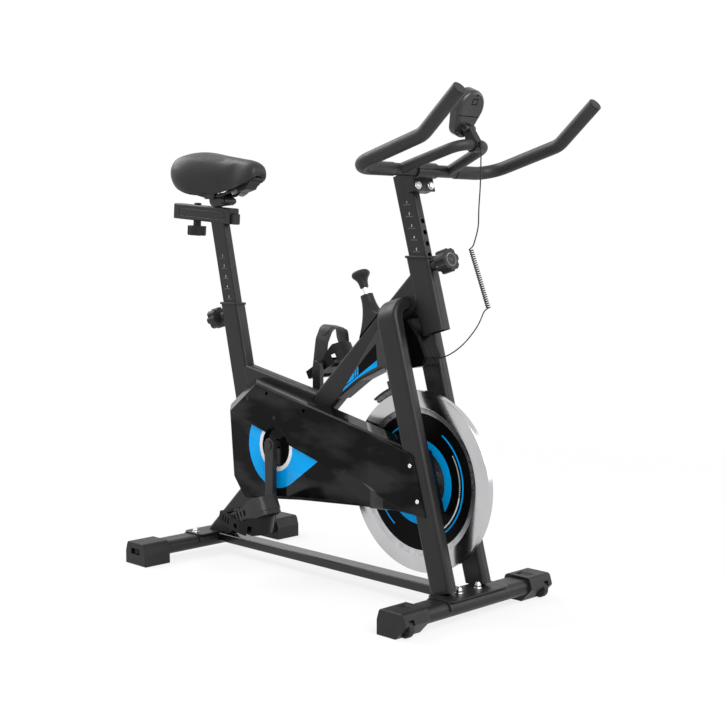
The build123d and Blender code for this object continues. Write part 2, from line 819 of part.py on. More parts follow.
def cover_blocks(inset):
    # Lower field, flared front and raised band, each shrunk by the inset
    field = cover_outline(cover_rear, cover_front, 9)
    band = cover_outline(band_rear, band_front, 3)
    if inset:
        field = offset(field, -inset)
        band = offset(band, -inset)
    low = raised(field, cover_field_y + cover_bevel + inset, cover_field_y + inset, 40)
    flare = raised(field, cover_field_y + inset, cover_front_y + inset, 25)
    flare &= cover_plan(cover_field_y, inset)
    high = raised(band, cover_field_y + inset, cover_front_y + inset, 25)
    high &= cover_plan(cover_band_y, inset)
    notch = disc(crank_x, dish_z, cover_recess_radius + cover_notch + inset, -100, cover_field_y + inset)
    front = Pos(cover_flare_x + 200, -50, wheel_z) * Box(400, 200, 600)
    rear = rear_wedge(inset)
    return [low & rear, flare & front, (high - notch) & rear]


def belt_cover():
    # Hollow cover on the belt side with a round dish about the crank
    low, flare, band = cover_blocks(0)
    shell = low + flare + band
    for hollow in cover_blocks(cover_wall):
        shell -= hollow
    dish = cover_field_y + cover_recess_depth
    shell -= disc(crank_x, dish_z, cover_recess_radius, -100, dish)
    floor = disc(crank_x, dish_z, cover_recess_radius + cover_wall, dish, dish + cover_wall)
    floor -= disc(crank_x, crank_z, spindle_radius + 3, -100, 0)
    wall = ring(crank_x, dish_z, cover_recess_radius + cover_wall, cover_recess_radius,
                cover_field_y + cover_wall, dish)
    shell += floor + wall
    shell -= leg_envelope(soft_gap)
    for x, z in screw_band:
        shell -= disc(x, z, 5, cover_band_y - 1, cover_band_y + 1.2)
    for x, z in screw_flange:
        shell -= disc(x, z, 2.2, -100, -leg_outer)
    return max(shell.solids(), key=lambda s: s.volume)


def belt_cover_back():
    face = offset(cover_outline(cover_rear, cover_front, 9), -cover_wall)
    plate = prism(face, cover_back_y - cover_wall, cover_back_y)
    plate -= disc(crank_x, crank_z, shell_radius + soft_gap, -100, 0)
    plate -= disc(wheel_x, wheel_z, hub_radius + 1, -100, 0)
    return plate - leg_envelope(soft_gap)


def cover_screw(x, z):
    y = cover_front_y
    shank = disc(x, z, 2.2, y, -leg_outer)
    head = disc(x, z, 4.6, y - 2.4, y)
    head = fillet(head.edges().sort_by(Axis.Y)[0], 1.5)
    cross = Box(5, 1.2, 1) + Box(1.2, 5, 1)
    cross = Plane(origin=(x, y - 2.4, z), z_dir=(0, -1, 0)) * cross
    return shank + head - cross


# Side view of the moulded shroud that hides the brake under the main tube
shroud_points = [(-229, 154), (-161, 242), (-99, 322), (-16, 340), (16, 305), (37, 263), (29, 246),
                 (-11, 237), (-91, 231), (-161, 200)]


def shroud_half_shell():
    face = outline([(wheel_x + x, wheel_z + z) for x, z in shroud_points])
    body = prism(face, -shroud_half, 0)
    body = chamfer(body.faces().sort_by(Axis.Y)[0].edges(), 4)
    body -= prism(offset(face, -shroud_wall), shroud_wall - shroud_half, 1)
    body -= main_envelope()
    body -= head_envelope()
    body -= rod(wheel_point, wheel_point + brake_dir * 400, rod_radius + 2)
    entry = xz(*cable_end)
    body -= rod(entry, entry + (xz(*cable_lower_points[-1]) - entry) * 2, cable_radius + slide_gap)
    body -= disc(wheel_x, wheel_z, shoe_outer + soft_gap, -shroud_half - 1, 1)
    return max(body.solids(), key=lambda s: s.volume)


main_normal = slanted(main_angle)


def boot_base():
    line = crank_point + main_normal * (tube_depth / 2)
    return meet(wheel_point, brake_dir, line, main_dir)


def tension_boot():
    # Flared collar that carries the tension rod out of the main tube
    low = Plane(origin=boot_base() - main_dir * 4, x_dir=main_dir, z_dir=main_normal)
    middle = Plane(origin=boot_base() + brake_dir * 26, x_dir=along(brake_angle), z_dir=brake_dir)
    high = Plane(origin=wheel_point + brake_dir * boot_top, x_dir=along(brake_angle), z_dir=brake_dir)
    width = tube_width - 1
    sections = [low * RectangleRounded(98, width, 12),
                middle * RectangleRounded(44, width - 1, 13),
                high * RectangleRounded(2 * boot_radius, 2 * boot_radius - 1, boot_radius - 1)]
    body = loft(sections)
    body -= main_envelope()
    return body - rod(wheel_point, wheel_point + brake_dir * 500, rod_radius + slide_gap)


brake_turn = Plane(origin=(wheel_x, 0, wheel_z), x_dir=brake_dir, z_dir=(0, -1, 0))


def arc_bar(inner, outer, half_angle):
    # Curved bar over the rim, centred on the brake line, in the wheel's plane
    a = math.radians(half_angle)

    def at(r, t):
        return (r * math.cos(t), r * math.sin(t))

    edges = [ThreePointArc(at(inner, -a), at(inner, 0), at(inner, a)), Line(at(inner, a), at(outer, a)),
             ThreePointArc(at(outer, a), at(outer, 0), at(outer, -a)), Line(at(outer, -a), at(inner, -a))]
    return make_face(edges)


pad_inner = wheel_radius + brake_push + brake_clear
pad_outer = pad_inner + brake_pad_height
shoe_outer = pad_outer + 4.0
knob_start = boot_top + 17.0


def brake_pad():
    return extrude(brake_turn * arc_bar(pad_inner, pad_outer, brake_half_angle), brake_width / 2, both=True)


def brake_shoe():
    shoe = extrude(brake_turn * arc_bar(pad_outer, shoe_outer, brake_half_angle + 1), brake_width / 2 + 1, both=True)
    socket = rod(wheel_point + brake_dir * (shoe_outer - 1), wheel_point + brake_dir * (shoe_outer + 14), 10)
    hole = rod(wheel_point + brake_dir * shoe_outer, wheel_point + brake_dir * (shoe_outer + 40), rod_radius)
    return shoe + socket - hole


def tension_rod():
    shank = rod(wheel_point + brake_dir * shoe_outer, wheel_point + brake_dir * (knob_start + 2), rod_radius)
    tip = rod(wheel_point + brake_dir * knob_start, wheel_point + brake_dir * (knob_start + 27), rod_radius - 1)
    return shank + tip


def tension_knob():
    # Mushroom knob: a waisted neck under a lobed, crowned head
    base = Plane(origin=wheel_point + brake_dir * knob_start, x_dir=(0, 1, 0), z_dir=brake_dir)
    neck = Pos(0, 0, 9) * Cone(9, 12, 18)
    flare = Pos(0, 0, 18) * Cone(12, 18, 8)
    head = Pos(0, 0, 21) * extrude(lobed(20.5, 10, 1.2), 10)
    crown = Pos(0, 0, 34.5) * Cone(18.6, 11, 7)
    crown = fillet(crown.edges().group_by(Axis.Z)[-1], 3)
    knob = neck + flare + head + crown
    knob -= Pos(0, 0, 14) * Cylinder(rod_radius - 1 + run_gap, 28)
    return base * (knob - Cylinder(rod_radius + run_gap, 4.6))


# Seat post with the slotted rail on top
seat_post_top = seat_top + seat_dir * seat_post_out
rail_dir = along(-seat_rail_fall)
rail_up = slanted(-seat_rail_fall)
rail_middle = seat_post_top + rail_up * (seat_rail_height / 2) - rail_dir * 37
slider_bolt = -53.0
slot_reach = (-31.0, 41.0)
rail_cap = 3.0
rail_plug = 5.0
hole_pitch = 24.0


def on_rail(s, up, y=0.0):
    # Point at s along the rail and up from its middle line
    return rail_middle + rail_dir * s + rail_up * up + Vector(0, y, 0)


def seat_post():
    low = seat_top - seat_dir * seat_post_in
    post = box_tube(low, seat_post_top + seat_dir * 20, post_width, post_depth, post_corner, post_wall)
    half = seat_rail_length / 2
    solid = box_tube(on_rail(-half, 0), on_rail(half, 0), seat_rail_width, seat_rail_height, 3, 0)
    above = box_tube(on_rail(-half, 25), on_rail(half, 25), 60, 50, 1, 0)
    post = post - solid - above
    for k in range(-5, 8):
        spot = seat_top + seat_dir * (hole_pitch * k - pin_drop)
        post -= rod(spot, spot + seat_back * post_depth, pin_radius + slide_gap)
    rail = box_tube(on_rail(-half, 0), on_rail(half, 0), seat_rail_width, seat_rail_height, 3, 2)
    slot = SlotCenterToCenter(slot_reach[1] - slot_reach[0], 11)
    plane = Plane(origin=on_rail(slider_bolt + sum(slot_reach) / 2, 0), x_dir=rail_dir, z_dir=rail_up)
    rail -= extrude(plane * slot, 40, both=True)
    return max(post.solids(), key=lambda s: s.volume) + rail


def rail_caps():
    # Plastic plugs in both ends of the rail
    half = seat_rail_length / 2
    solids = []
    for a, b, c in ((-half - rail_cap, -half, rail_plug - half), (half + rail_cap, half, half - rail_plug)):
        head = box_tube(on_rail(a, 0), on_rail(b, 0), seat_rail_width, seat_rail_height, 3, 0)
        plug = box_tube(on_rail(b, 0), on_rail(c, 0), seat_rail_width - 4, seat_rail_height - 4, 1, 0)
        solids.append(head + plug)
    return solids


slider_top = seat_rail_height / 2 + slide_gap + 12.5
stem_s = 25.0
stem_height = 24.0
slider_mid = slider_bolt + 31.5


def seat_slider():
    # Inverted channel that rides on the rail, with the saddle stem welded on it
    half = slider_length / 2
    low = slider_top - slider_height
    mid = (slider_top + low) / 2
    outer = box_tube(on_rail(slider_mid - half, mid), on_rail(slider_mid + half, mid),
                     slider_width, slider_height, 4, 0)
    inner = box_tube(on_rail(slider_mid - half - 1, mid - slider_wall), on_rail(slider_mid + half + 1, mid - slider_wall),
                     slider_width - 2 * slider_wall, slider_height, 1, 0)
    runner_low = seat_rail_height / 2 + slide_gap
    runner_mid = (runner_low + slider_top - slider_wall) / 2
    runner = box_tube(on_rail(slider_mid - half, runner_mid), on_rail(slider_mid + half, runner_mid),
                      slider_width - 2 * slider_wall, slider_top - slider_wall - runner_low, 1, 0)
    body = outer - inner + runner
    panel = Plane(origin=on_rail(slider_mid, mid), x_dir=rail_dir, z_dir=(0, -1, 0))
    emboss = RectangleRounded(slider_length * 0.82, slider_height * 0.55, 7)
    emboss -= RectangleRounded(slider_length * 0.82 - 5, slider_height * 0.55 - 5, 5)
    for side in (panel, Plane(origin=on_rail(slider_mid, mid), x_dir=rail_dir, z_dir=(0, 1, 0))):
        body -= side * extrude(Pos(0, 0, slider_width / 2 - 0.8) * emboss, 4)
    body -= rod(on_rail(slider_bolt, runner_low - 1), on_rail(slider_bolt, slider_top - 4), 5 + run_gap)
    stem = rod(on_rail(stem_s, slider_top - 1), on_rail(stem_s, slider_top + stem_height), stem_radius)
    nut = Plane(origin=on_rail(slider_bolt, slider_top), x_dir=rail_dir, z_dir=rail_up) * hexagon(16, 5, 0)
    return body + stem + nut


def slider_knob():
    # Hand knob under the rail; its bolt passes through the slot into the slider
    under = -seat_rail_height / 2 - slide_gap
    plane = Plane(origin=on_rail(slider_bolt, under), x_dir=rail_dir, z_dir=rail_up * -1)
    boss = Pos(0, 0, 7) * Cylinder(9.5, 14)
    head = Pos(0, 0, 13) * extrude(lobed(slider_knob_radius, knob_lobes, 3.2), slider_knob_length)
    head = fillet(head.faces().sort_by(Axis.Z)[-1].edges(), 2.5)
    bolt = rod(on_rail(slider_bolt, under - 2), on_rail(slider_bolt, slider_top - 6), 5)
    return plane * (boss + head) + bolt


clamp_at = on_rail(stem_s, slider_top + stem_height - 8)
wire_z = clamp_at.Z + 10


def saddle_clamp():
    # Block on the stem with two grooved ears for the saddle wires and a cross bolt
    x, z = clamp_at.X, clamp_at.Z
    face = wrap_loop(x, z, 15, x + 36, z - 3, 10)
    block = prism(face, -15, 15)
    ears = prism(wrap_loop(x - 12, wire_z, 8, x + 12, wire_z, 8), -28, 28)
    ears -= prism(Pos(x, wire_z) * Rectangle(100, 60), -15, 15)
    block += ears
    block -= rod(on_rail(stem_s, 0), on_rail(stem_s, slider_top + stem_height), stem_radius)
    for side in (-1, 1):
        y = side * saddle_wire_half
        block -= rod(Vector(x - 60, y, wire_z), Vector(x + 60, y, wire_z), saddle_wire)
    for side in (-1, 1):
        nut = Plane(origin=(x + 36, side * 15, z - 3), z_dir=(0, side, 0)) * hexagon(13, 7, 0)
        block += nut
    return block


# Saddle sections from the stem: place along X, half width, skirt edge and crown above the wires
saddle_sections = [(-101, 46, 46, 70), (-90, 75, 30, 91), (-62, 91, 12, 105), (-17, 88, -3, 103),
                   (33, 64, -5, 93), (80, 41, 6, 86), (118, 34, 17, 82), (147, 29, 27, 75), (160, 20, 35, 62)]
skirt_depth = 24.0
saddle_at = Vector(clamp_at.X, 0, wire_z)


def saddle_section(x, half, low, high):
    # Crowned top, sides drawn in below, and a hollow underside
    rise = high - low
    hollow = min(skirt_depth, rise * 0.25)
    mid = (half, low + rise * 0.42)
    top = (half * 0.80, low + rise * 0.84)
    base = (half * 0.84, low)
    edges = [ThreePointArc((-base[0], low), (0, low + hollow), base),
             ThreePointArc(base, mid, top),
             ThreePointArc(top, (0, high), (-top[0], top[1])),
             ThreePointArc((-top[0], top[1]), (-mid[0], mid[1]), (-base[0], low))]
    return Plane.YZ.offset(saddle_at.X + x) * Pos(0, saddle_at.Z) * make_face(edges)


def saddle_pad():
    return loft([saddle_section(*row) for row in saddle_sections])


def saddle_base(pad):
    # Moulded pan under the cushion with a socket at the nose and a bridge at the rear
    faces = []
    for x, half, low, high in saddle_sections[1:-1]:
        hollow = min(skirt_depth, (high - low) * 0.25)
        face = Pos(0, saddle_at.Z + low + hollow - 1) * RectangleRounded(half * 1.3, 6, 2)
        faces.append(Plane.YZ.offset(saddle_at.X + x) * face)
    pan = loft(faces)
    socket = outline([(78, 24), (140, 36), (122, 12), (96, 6)], 3)
    bridge = outline([(-80, 44), (-54, 34), (-56, 18), (-72, 24)], 3)
    pan += Pos(saddle_at) * prism(socket, -16, 16)
    pan += Pos(saddle_at) * prism(bridge, -46, 46)
    return pan - pad


def saddle_wires(pan, pad):
    solids = []
    for side in (-1, 1):
        y = side * saddle_wire_half
        path = FilletPolyline((-68, side * 38, 32), (-48, side * 31, 6), (-28, y, 0),
                              (40, y, 0), (106, side * 9, 22), radius=14)
        wire = sweep(Plane(origin=path @ 0, z_dir=path % 0) * Circle(saddle_wire), path)
        wire = Pos(saddle_at) * wire - pan - pad
        solids.append(max(wire.solids(), key=lambda s: s.volume))
    return solids


# Handlebar post, with the bar's middle in the post's own frame
bar_middle = xz(bar_x, bar_z)
bar_u = (bar_middle - head_top).dot(head_front)
bar_v = (bar_middle - head_top).dot(head_dir)
bar_post_out = bar_v + 11.0
post_front = post_depth / 2
clamp_face = bar_u - 11.0
clamp_low = bar_v - 41.0
clamp_high = bar_v + 19.0
bolt_v = bar_v - 29.0
post_frame = Plane(origin=head_top, x_dir=head_front, z_dir=(0, -1, 0))


def post_prism(face, half):
    # Outline in the post's own side view, given a width
    return extrude(post_frame * face, half, both=True)


def span(u0, u1, v0, v1):
    return Pos((u0 + u1) / 2, (v0 + v1) / 2) * Rectangle(u1 - u0, v1 - v0)


def handlebar_post():
    low = head_top - head_dir * bar_post_in
    high = head_top + head_dir * bar_post_out
    post = box_tube(low, high, post_width, post_depth, post_corner, post_wall)
    lid = box_tube(high - head_dir * 3, high, post_width - 1, post_depth - 1, post_corner, 0)
    post += lid
    for k in range(-1, 5):
        spot = head_top + head_dir * (hole_pitch * k - bar_pin_drop)
        post -= rod(spot, spot + head_front * post_depth, pin_radius + slide_gap)
    block = post_prism(span(post_front, clamp_face, clamp_low + 2, clamp_high - 1), clamp_half - 2)
    block -= post_prism(Pos(bar_u, bar_v) * Circle(bar_radius), clamp_half)
    for y in (-clamp_bolt_half, clamp_bolt_half):
        block -= post_prism(span(clamp_face - 14, clamp_face, bolt_v - 3, bolt_v + 3), 3).moved(Pos(0, y, 0))
    return post + block


def bar_clamp():
    # Bent plate over the front of the bar, with its two bolts
    hoop = Pos(bar_u, bar_v) * Circle(bar_radius + clamp_wall)
    face = hoop & span(clamp_face, clamp_face + 60, bar_v - 50, bar_v + 50)
    face += span(clamp_face, clamp_face + clamp_wall, clamp_low, bar_v)
    face += span(clamp_face, clamp_face + clamp_wall, bar_v, clamp_high)
    face -= Pos(bar_u, bar_v) * Circle(bar_radius)
    plate = post_prism(face, clamp_half)
    solids = []
    for y in (-clamp_bolt_half, clamp_bolt_half):
        at = head_top + head_front * clamp_face + head_dir * bolt_v + Vector(0, y, 0)
        plate -= rod(at - head_front, at + head_front * 10, 3)
        front = Plane(origin=at + head_front * clamp_wall, z_dir=head_front)
        head = front * (hexagon(13, 5, 0) + Pos(0, 0, 0.6) * Cylinder(8, 1.2))
        solids.append(head + rod(at - head_front * 10, at + head_front * (clamp_wall + 1), 2.9))
    return [plate] + solids


def bar_points():
    bend = (bar_x + bend_reach, bar_z + bend_rise)
    tip = (bend[0] + tip_reach, bend[1] + tip_rise)
    right = [(tip[0], -bar_half, tip[1]), (bend[0], -bar_half, bend[1]), (bar_x, -bar_half, bar_z)]
    return right + [(x, -y, z) for x, y, z in reversed(right)]


def bar_path():
    return FilletPolyline(*bar_points(), radius=bar_corner)


def handlebar():
    path = bar_path()
    section = Circle(bar_radius) - Circle(bar_radius - bar_wall)
    return sweep(Plane(origin=path @ 0, z_dir=path % 0) * section, path)


def bar_sleeves():
    # Soft grips pulled over the bar from each tip to beside the loop
    path = bar_path()
    section = Circle(sleeve_radius) - Circle(bar_radius)
    whole = sweep(Plane(origin=path @ 0, z_dir=path % 0) * section, path)
    reach = bend_reach + tip_reach + 4 * sleeve_radius
    middle = Pos(bar_x, 0, bar_z) * Box(2 * reach, 2 * sleeve_end, 8 * reach)
    return list((whole - middle).solids())


def bar_caps():
    path = bar_path()
    solids = []
    for at, away in ((path @ 0, (path % 0) * -1), (path @ 1, path % 1)):
        plane = Plane(origin=at, z_dir=away)
        head = Pos(0, 0, 1.5) * Cylinder(sleeve_radius, 3)
        head = fillet(head.edges().group_by(Axis.Z)[-1], 1.4)
        plug = Pos(0, 0, -6) * Cylinder(bar_radius - bar_wall, 12)
        solids.append(plane * (head + plug))
    return solids


loop_apex = xz(bar_x + loop_reach, bar_z + loop_rise)


def handlebar_loop():
    # Smaller tube welded in front of the bar as a second hand position
    x, z = loop_apex.X, loop_apex.Z
    points = [(bar_x, -loop_half, bar_z), (x, -loop_half + 33, z), (x, loop_half - 33, z), (bar_x, loop_half, bar_z)]
    path = FilletPolyline(*points, radius=36)
    tube = sweep(Plane(origin=path @ 0, z_dir=path % 0) * Circle(loop_radius), path)
    tube -= rod(Vector(bar_x, -bar_half, bar_z), Vector(bar_x, bar_half, bar_z), bar_radius)
    return max(tube.solids(), key=lambda s: s.volume)


# Monitor in its own frame: up along the case, its back towards the front of the bike
monitor_up = Vector(math.sin(math.radians(monitor_lean)), 0, math.cos(math.radians(monitor_lean)))
monitor_back = Vector(0, 1, 0).cross(monitor_up)
monitor_low = xz(monitor_low_x, monitor_low_z)
monitor_pivot = monitor_low + monitor_up * 24 + monitor_back * (monitor_thickness / 2 + 8)
monitor_plane = Plane(origin=monitor_low, x_dir=(0, 1, 0), z_dir=monitor_back)


def monitor_face(inset):
    top = monitor_length - monitor_top_radius
    return wrap_loop(0, monitor_low_radius, monitor_low_radius - inset, 0, top, monitor_top_radius - inset)


def monitor_case():
    # Pear-shaped case with two pivot ears on its back
    half = monitor_thickness / 2
    body = extrude(Pos(0, 0, -half) * monitor_face(0), monitor_thickness)
    body = fillet(body.faces().sort_by(Axis.Z)[-1].edges(), 8)
    body = fillet(body.faces().sort_by(Axis.Z)[0].edges(), 2)
    body -= Pos(0, 0, -half) * extrude(monitor_face(6) & Pos(0, 66) * Rectangle(100, 56), 2)
    body -= Pos(0, 23, -half) * Cylinder(7 + soft_gap, 16)
    body = monitor_plane * body
    ears = rod(monitor_pivot - Vector(0, 13, 0), monitor_pivot + Vector(0, 13, 0), 6.5)
    web = monitor_plane * (Pos(0, 24, half + 3) * Box(26, 13, 10))
    gap = Pos(monitor_pivot) * Box(60, 2 * bracket_half + 2 * soft_gap, 60)
    tongue = ears + web - (gap - monitor_plane * extrude(Pos(0, 0, -half) * monitor_face(0), monitor_thickness))
    body += tongue
    return body - rod(monitor_pivot - Vector(0, 20, 0), monitor_pivot + Vector(0, 20, 0), 3 + run_gap)


def monitor_lens():
    half = monitor_thickness / 2
    pane = monitor_face(6) & Pos(0, 66) * Rectangle(100, 56)
    return monitor_plane * extrude(Pos(0, 0, -half + 0.4) * pane, 1.6)


def mode_button():
    half = monitor_thickness / 2
    key = Pos(0, 23, 3 - half) * Cylinder(7, 8)
    key = fillet(key.edges().group_by(Axis.Z)[0], 1)
    return monitor_plane * key


def monitor_bracket():
    # Clamp round the loop with an arm up to the monitor and a cable guide
    hug = loop_radius + 3.5
    arm = wrap_loop(loop_apex.X, loop_apex.Z, hug, monitor_pivot.X, monitor_pivot.Z, 6.5)
    body = prism(arm, -bracket_half, bracket_half)
    body += rod(cable_start + Vector(0, 0, 0), cable_start + Vector(0, 0, 12), 4)
    body += rod(cable_start + Vector(-6, 0, 6), cable_start + Vector(0, 0, 6), 3)
    body -= rod(loop_apex - Vector(0, 30, 0), loop_apex + Vector(0, 30, 0), loop_radius)
    pin = rod(monitor_pivot - Vector(0, 12.5, 0), monitor_pivot + Vector(0, 12.5, 0), 3)
    return body + pin


# Route of the monitor cable in the middle plane
cable_start = loop_apex + Vector(loop_radius + 7.0, 0, -6)
cable_upper_steps = [(0, 0), (0, -40), (-1.5, -84), (-5, -120), (-4.5, -152), (-12, -176)]
coil_top = cable_start + Vector(-24, 0, -198)
coil_axis = Vector(0.372, 0, -0.928).normalized()
coil_length = 125.0
coil_lead = 8.0
cable_lower_points = [(437, 592), (410, 562), (385, 541.5), (357, 526), (332, 517.5)]
cable_end = (312.0, 517.8)


def biarc(p0, t0, p1, t1):
    # Two tangent arcs between two points with given directions
    v = p1 - p0
    t = t0 + t1
    a = 2 * (t0.dot(t1) - 1)
    b = -2 * v.dot(t)
    c = v.dot(v)
    reach = -c / b if abs(a) < 1e-9 else (-b - math.sqrt(b * b - 4 * a * c)) / (2 * a)
    q0 = p0 + t0 * reach
    q1 = p1 - t1 * reach
    joint = (q0 + q1) * 0.5
    return [arc_by_corner(p0, q0, joint), arc_by_corner(joint, q1, p1)]


def arc_by_corner(p, q, r):
    # Arc from p to r, tangent to p-q and q-r
    middle = (p + r) * 0.5
    half = (r - p).length / 2
    height = (q - middle).length
    turn = 2 * math.atan2(height, half)
    bow = half * math.tan(turn / 4)
    return ThreePointArc(p, middle + (q - middle).normalized() * bow, r)


def coil_point(turns):
    # Point and direction on the curls after a number of turns
    side = Vector(0, 1, 0)
    other = coil_axis.cross(side)
    a = 2 * math.pi * turns + math.pi
    pitch = coil_length / coil_turns
    point = coil_top + coil_axis * (pitch * turns) + (side * math.cos(a) + other * math.sin(a)) * coil_radius
    lead = coil_axis * (pitch / (2 * math.pi * coil_radius))
    return point, (other * math.cos(a) - side * math.sin(a) + lead).normalized()


def curl_gap():
    # Least clear space between one curl and the next, measured on points
    points = [coil_point(k / 24)[0] for k in range(24 * 4 + 1)]
    spans = [(q - p).length for i, p in enumerate(points) for q in points[i + 12:]]
    return min(spans) - 2 * cable_radius


def cable_coil():
    edges = []
    stations = [coil_point(k / 2) for k in range(2 * coil_turns + 1)]
    first, lead = stations[0]
    last, trail = stations[-1]
    edges.append(Line(first - lead * (2 * cable_radius), first))
    for (p0, t0), (p1, t1) in zip(stations, stations[1:]):
        edges += biarc(p0, t0, p1, t1)
    edges.append(Line(last, last + trail * (2 * cable_radius)))
    path = Wire([e.edge() for e in edges])
    print("least gap between curls", round(curl_gap(), 2))
    section = Plane(origin=first - lead * (2 * cable_radius), z_dir=lead) * RegularPolygon(cable_radius, 6)
    return sweep(section, path, clean=False)


def corner_radii(points):
    # Bend radii that leave a short straight between neighbouring bends
    radii = []
    for p, q, r in zip(points, points[1:], points[2:]):
        turn = math.radians((q - p).get_angle(r - q))
        radii.append(0.45 * min((q - p).length, (r - q).length) / math.tan(turn / 2))
    return radii


def cable_run(points):
    radii = corner_radii(points)
    print("cable bends", [round(r, 1) for r in radii])
    path = FilletPolyline(*points, radius=radii)
    section = Plane(origin=path @ 0, z_dir=path % 0) * RegularPolygon(cable_radius, 8)
    run = sweep(section, path)
    print("cable volume share", round(run.volume / (section.area * path.length), 4))
    return run


def upper_points():
    first, lead = coil_point(0)
    end = first - lead * (2 * cable_radius)
    return [cable_start + xz(*s) for s in cable_upper_steps] + [end - lead * coil_lead, end]


def lower_points():
    last, trail = coil_point(coil_turns)
    start = last + trail * (2 * cable_radius)
    middle = [xz(*p) for p in cable_lower_points]
    return [start, start + trail * coil_lead] + middle + [xz(*cable_end)]


def make_nodes():
    # Every node of the assembly as a list of solids
    pad = saddle_pad()
    pan = saddle_base(pad)
    screws = [cover_screw(x, z) for x, z in screw_flange]
    fasteners = carriage_bolts() + [flywheel_axle()] + both_sides(axle_nut()) + screws + both_sides(roller_axle())
    lugs = [bottom_bracket()] + both_sides(dropout())
    lugs += [pin_boss(seat_pin_at, seat_back), pin_boss(bar_pin_at, head_front)]
    plates = [mount_plate(front_stab_x, front_plate_half, front_bolt_half),
              mount_plate(rear_stab_x, rear_plate_half, rear_bolt_half)]
    tubes = [bolt_through(front_stab_x, front_stab_half - foot_end_wall, front_bolt_half),
             bolt_through(rear_stab_x, rear_stab_half - foot_end_wall, rear_bolt_half)]
    collars = [tube_collar(seat_top, seat_dir, seat_pin_at, seat_back),
               tube_collar(head_top, head_dir, bar_pin_at, head_front)]
    rollers = both_sides(roller())
    dials = both_sides(leveller())
    return {
        "main_tube": [main_tube()],
        "seat_tube": [seat_tube()],
        "head_tube": [head_tube()],
        "top_tube": [top_tube()],
        "fork_legs": both_sides(fork_leg()),
        "base_rail": [base_rail()],
        "frame_lugs": lugs,
        "mount_plates": plates,
        "stabilizers": tubes,
        "stabilizer_feet": both_sides(front_foot()) + both_sides(rear_foot()),
        "frame_fasteners": fasteners,
        "tube_collars": collars,
        "crank_bearings": both_sides(crank_bearing()),
        "belt_cover": [belt_cover()],
        "belt_cover_back": [belt_cover_back()],
        "brake_shroud": both_sides(shroud_half_shell()),
        "tension_boot": [tension_boot()],
        "drive_belt": [drive_belt()],
        "seat_post": [seat_post()],
        "rail_end_caps": rail_caps(),
        "seat_slider": [seat_slider()],
        "slider_knob": [slider_knob()],
        "saddle_clamp": [saddle_clamp()],
        "saddle_wires": saddle_wires(pan, pad),
        "saddle_base": [pan],
        "saddle_pad": [pad],
        "seat_pin": [post_pin(seat_pin_at, seat_back)],
        "seat_knob": [grip_knob(seat_pin_at, seat_back)],
        "bar_pin": [post_pin(bar_pin_at, head_front)],
        "bar_knob": [grip_knob(bar_pin_at, head_front)],
        "handlebar_post": [handlebar_post()],
        "bar_clamp": bar_clamp(),
        "handlebar": [handlebar()],
        "handlebar_loop": [handlebar_loop()],
        "bar_end_caps": bar_caps(),
        "bar_sleeves": bar_sleeves(),
        "monitor_bracket": [monitor_bracket()],
        "monitor_case": [monitor_case()],
        "monitor_lens": [monitor_lens()],
        "mode_button": [mode_button()],
        "cable_upper": [cable_run(upper_points())],
        "cable_coil": [cable_coil()],
        "cable_lower": [cable_run(lower_points())],
        "tension_rod": [tension_rod()],
        "tension_knob": [tension_knob()],
        "brake_shoe": [brake_shoe()],
        "brake_pad": [brake_pad()],
        "crank_axles": [crank_spindle(), pedal_axle(-1), pedal_axle(1)],
        "drive_pulley": [drive_pulley()],
        "crank_arms": [crank_arm(-1), crank_arm(1)],
        "pedal_right": [pedal(-1)],
        "pedal_left": [pedal(1)],
        "pedal_strap_right": [pedal_strap(-1)],
        "pedal_strap_left": [pedal_strap(1)],
        "flywheel": [flywheel()],
        "flywheel_hub": flywheel_hub(),
        "transport_wheel_right": [rollers[0]],
        "transport_wheel_left": [rollers[1]],
        "leveller_right": [dials[0]],
        "leveller_left": [dials[1]],
    }


def middle_of_length(nodes):
    # Half way between the front and rear ends, the thin cable left out
    boxes = [s.bounding_box() for name, solids in nodes.items() if "cable" not in name for s in solids]
    return (min(b.min.X for b in boxes) + max(b.max.X for b in boxes)) / 2


def main():
    os.makedirs("parts", exist_ok=True)
    nodes = make_nodes()
    middle = middle_of_length(nodes)
    print("middle of length", round(middle, 3), "nodes", len(nodes))
    for name, solids in nodes.items():
        moved = [Pos(-middle, 0, 0) * s for s in solids]
        shape = moved[0] if len(moved) == 1 else Compound(moved)
        shape.label = name
        export_step(shape, f"parts/{name}.step")


if __name__ == "__main__":
    main()
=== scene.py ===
import bpy
import bmesh
import math
from mathutils import Matrix, Vector


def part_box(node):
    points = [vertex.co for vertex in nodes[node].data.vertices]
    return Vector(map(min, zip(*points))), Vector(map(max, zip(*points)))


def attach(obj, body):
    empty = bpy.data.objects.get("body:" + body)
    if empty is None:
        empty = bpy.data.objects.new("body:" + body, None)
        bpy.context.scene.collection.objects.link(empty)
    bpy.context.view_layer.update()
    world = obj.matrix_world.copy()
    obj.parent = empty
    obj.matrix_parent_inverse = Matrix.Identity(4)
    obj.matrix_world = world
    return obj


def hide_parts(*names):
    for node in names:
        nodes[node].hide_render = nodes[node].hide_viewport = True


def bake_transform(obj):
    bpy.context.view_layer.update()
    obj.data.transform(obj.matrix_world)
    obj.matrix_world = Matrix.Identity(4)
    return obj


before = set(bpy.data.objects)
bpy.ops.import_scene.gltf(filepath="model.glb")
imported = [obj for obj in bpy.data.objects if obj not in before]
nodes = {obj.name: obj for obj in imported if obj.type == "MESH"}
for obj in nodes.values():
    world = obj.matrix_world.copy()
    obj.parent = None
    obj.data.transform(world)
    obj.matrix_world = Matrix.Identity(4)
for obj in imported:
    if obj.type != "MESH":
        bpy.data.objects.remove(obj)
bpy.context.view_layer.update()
mm = 0.001
edgeRound = 1.2  # how round a sharp edge is shaded, in millimetres


